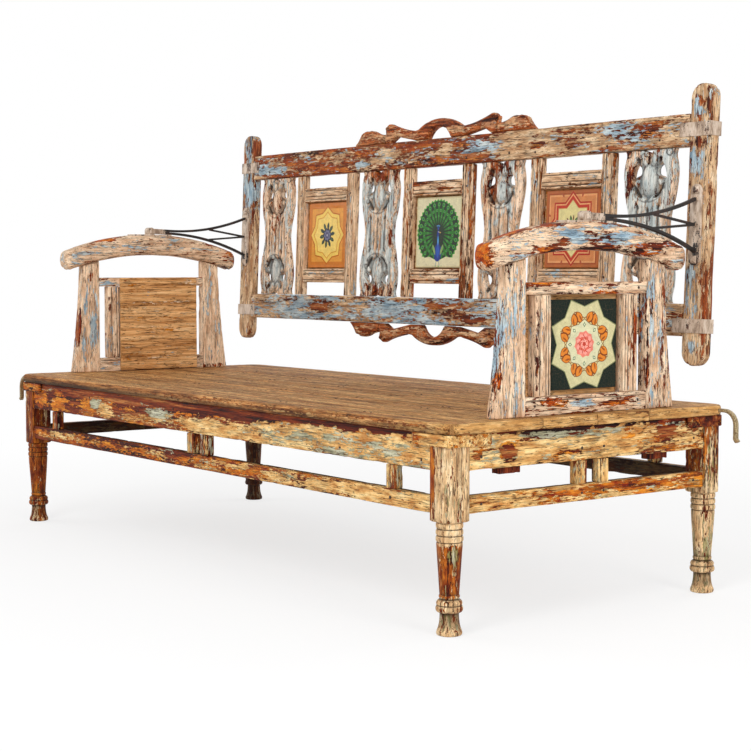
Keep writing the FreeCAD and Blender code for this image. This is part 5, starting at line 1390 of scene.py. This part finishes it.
def nail_tree(finish):
    """Geometry nodes that set a domed nail head on each point, facing along its `facing`."""
    tree = bpy.data.node_groups.new("nail_heads", "GeometryNodeTree")
    for end in ("INPUT", "OUTPUT"):
        tree.interface.new_socket("Geometry", in_out=end, socket_type="NodeSocketGeometry")
    nodes, links = tree.nodes, tree.links
    start, end = nodes.new("NodeGroupInput"), nodes.new("NodeGroupOutput")
    ball = nodes.new("GeometryNodeMeshUVSphere")
    ball.inputs["Segments"].default_value = 10
    ball.inputs["Rings"].default_value = 6
    ball.inputs["Radius"].default_value = 1.0
    head = nodes.new("GeometryNodeTransform")
    head.inputs["Scale"].default_value = HEAD_SIZE
    links.new(ball.outputs["Mesh"], head.inputs["Geometry"])
    way = nodes.new("GeometryNodeInputNamedAttribute")
    way.data_type = "FLOAT_VECTOR"
    way.inputs["Name"].default_value = "facing"
    turn = nodes.new("FunctionNodeAlignRotationToVector")
    turn.axis = "Z"
    links.new(way.outputs["Attribute"], turn.inputs["Vector"])
    size = nodes.new("FunctionNodeRandomValue")
    size.data_type = "FLOAT_VECTOR"
    size.inputs[0].default_value = (0.75, 0.75, 0.7)
    size.inputs[1].default_value = (1.2, 1.2, 1.2)
    size.inputs["Seed"].default_value = 7
    copies = nodes.new("GeometryNodeInstanceOnPoints")
    links.new(start.outputs["Geometry"], copies.inputs["Points"])
    links.new(head.outputs["Geometry"], copies.inputs["Instance"])
    links.new(turn.outputs["Rotation"], copies.inputs["Rotation"])
    links.new(size.outputs[0], copies.inputs["Scale"])
    real = nodes.new("GeometryNodeRealizeInstances")
    links.new(copies.outputs["Instances"], real.inputs[0])
    dress = nodes.new("GeometryNodeSetMaterial")
    dress.inputs["Material"].default_value = finish
    links.new(real.outputs[0], dress.inputs["Geometry"])
    links.new(dress.outputs["Geometry"], end.inputs[0])
    return tree


def nail_heads(name, spots, home, tree):
    """Domed heads at spots (x, y, z, facing x, y, z), drawn where the body is drawn."""
    body, origin, axes = home
    spots = np.array(spots, float)
    mesh = bpy.data.meshes.new(name + "_points")
    mesh.from_pydata(((origin + spots[:, :3] @ axes) / 1000).tolist(), [], [])
    facing = mesh.attributes.new("facing", "FLOAT_VECTOR", "POINT")
    facing.data.foreach_set("vector", (spots[:, 3:] @ axes).ravel())
    points = linked(name + "_points", mesh)
    points.modifiers.new("heads", "NODES").node_group = tree
    depsgraph = bpy.context.evaluated_depsgraph_get()
    whole = bpy.data.meshes.new_from_object(points.evaluated_get(depsgraph))
    bpy.data.objects.remove(points)
    whole.polygons.foreach_set("use_smooth", [True] * len(whole.polygons))
    made = linked(name, whole)
    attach(made, body)


heads = nail_tree(forged_iron("nail_iron", "33241B", "5A4232", "5A3420"))
bench_nails = []
for y in (-380, -215, -150, -40, 40, 150, 215, 380):
    bench_nails += [(step * BATTEN_STEP + side * 12, y, SEAT_TOP - 0.4, 0, 0, 1)
                    for step in range(-2, 3) for side in (-1, 1)]
for side in (-1, 1):
    for x in (-940, -600, -120, 300, 640, 940):
        bench_nails.append((x, side * (LEG_Y - 2.7), 372 if int(x) % 3 else 408, 0, side, 0))
    for x in SPACER_PLACES:
        bench_nails.append((x, side * (LEG_Y - 2.7), 279, 0, side, 0))
    for y in (-330, -34, 34, 330):
        bench_nails.append((side * (LEG_X - 2.7), y, 279, side, 0, 0))
        bench_nails.append((side * (LEG_X - 2.7), y, 380, side, 0, 0))
    for y in (-160, 160):
        bench_nails.append((side * (ARM_X + 13.8), y, 478, side, 0, 0))
        bench_nails.append((side * (ARM_X + 13.8), y, 737, side, 0, 0))
back_nails = []
for y, way in ((BACK_FACE + 0.2, -1), (BACK_REAR - 0.2, 1)):
    for side in (-1, 1):
        for steps, up, reach in (((-3, -1, 1, 3), 20, 38), ((-2, 0, 2), 16, 134)):
            back_nails += [(step * BAY + off, y, side * (RAIL_INNER + up), 0, way, 0)
                           for step in steps for off in (-reach, reach)]
for step in (-2, 0, 2):
    for off in (-134, 134):
        back_nails += [(step * BAY + off, FRAME_NEAR + 0.2, side * 126, 0, -1, 0) for side in (-1, 1)]
nail_heads("nails_in_bench", bench_nails, BENCH, heads)
nail_heads("nails_in_back", back_nails, BACK, heads)

# ---------------------------------------------------------------- floor, light and camera

turns = np.arange(64) * 2 * pi / 64
floor_mesh = bpy.data.meshes.new("floor")
floor_mesh.from_pydata([(9 * cos(turn), 9 * sin(turn), -0.0005) for turn in turns], [], [list(range(64))])
floor = linked("floor", floor_mesh)
ground = Finish("pale_floor")
floor_mesh.materials.append(ground.done(Base_Color=(0.97, 0.97, 0.97, 1), Roughness=0.9))
away = ground.add("VectorMath", {0: ground.add("TexCoord", {}, "Object")}, "Value", operation="LENGTH")
share = ground.math("MULTIPLY", ground.seen(), ground.step(away, 1.0, 3.2, 0.72, 1.0))
blend = ground.add("MixShader", {0: share, 1: ground.shader.outputs[0], 2: ground.add("Emission", {})})
ground.feed(ground.tree.nodes["Material Output"].inputs["Surface"], blend)

world = bpy.data.worlds.new("studio")
bpy.context.scene.world = world
studio = Nodes(world)
sky = studio.tree.nodes["Background"]
studio.feed(sky.inputs["Color"], (1, 1, 1, 1))
studio.feed(sky.inputs["Strength"], studio.add("MapRange", {0: studio.seen(), 3: 0.52, 4: 1.0}))

for name, spot, size, power in (
        ("key", (2.2, -3.6, 3.4), 2.0, 95), ("fill", (-3.6, -2.6, 2.4), 3.0, 38),
        ("end_light", (6.0, -0.4, 2.4), 2.4, 110), ("rear_light", (0.5, 4.0, 3.2), 2.6, 40)):
    data = bpy.data.lights.new(name, "AREA")
    data.shape = "DISK"
    data.size = size
    data.energy = power
    lamp = bpy.data.objects.new(name, data)
    lamp.location = spot
    lamp.rotation_euler = (Vector((0, 0, 0.6)) - Vector(spot)).to_track_quat("-Z", "Y").to_euler()
    bpy.context.scene.collection.objects.link(lamp)

camera_data = bpy.data.cameras.new("camera")
camera_data.lens = 79.4
camera_data.sensor_width = 36
camera_data.clip_end = 50
camera = bpy.data.objects.new("camera", camera_data)
camera.location = (3.7068, -2.6160, 0.7836)
camera.rotation_euler = (radians(90 - 3.74), 0, radians(53.18))
bpy.context.scene.collection.objects.link(camera)
bpy.context.scene.camera = camera
bpy.context.scene.view_settings.view_transform = "Standard"
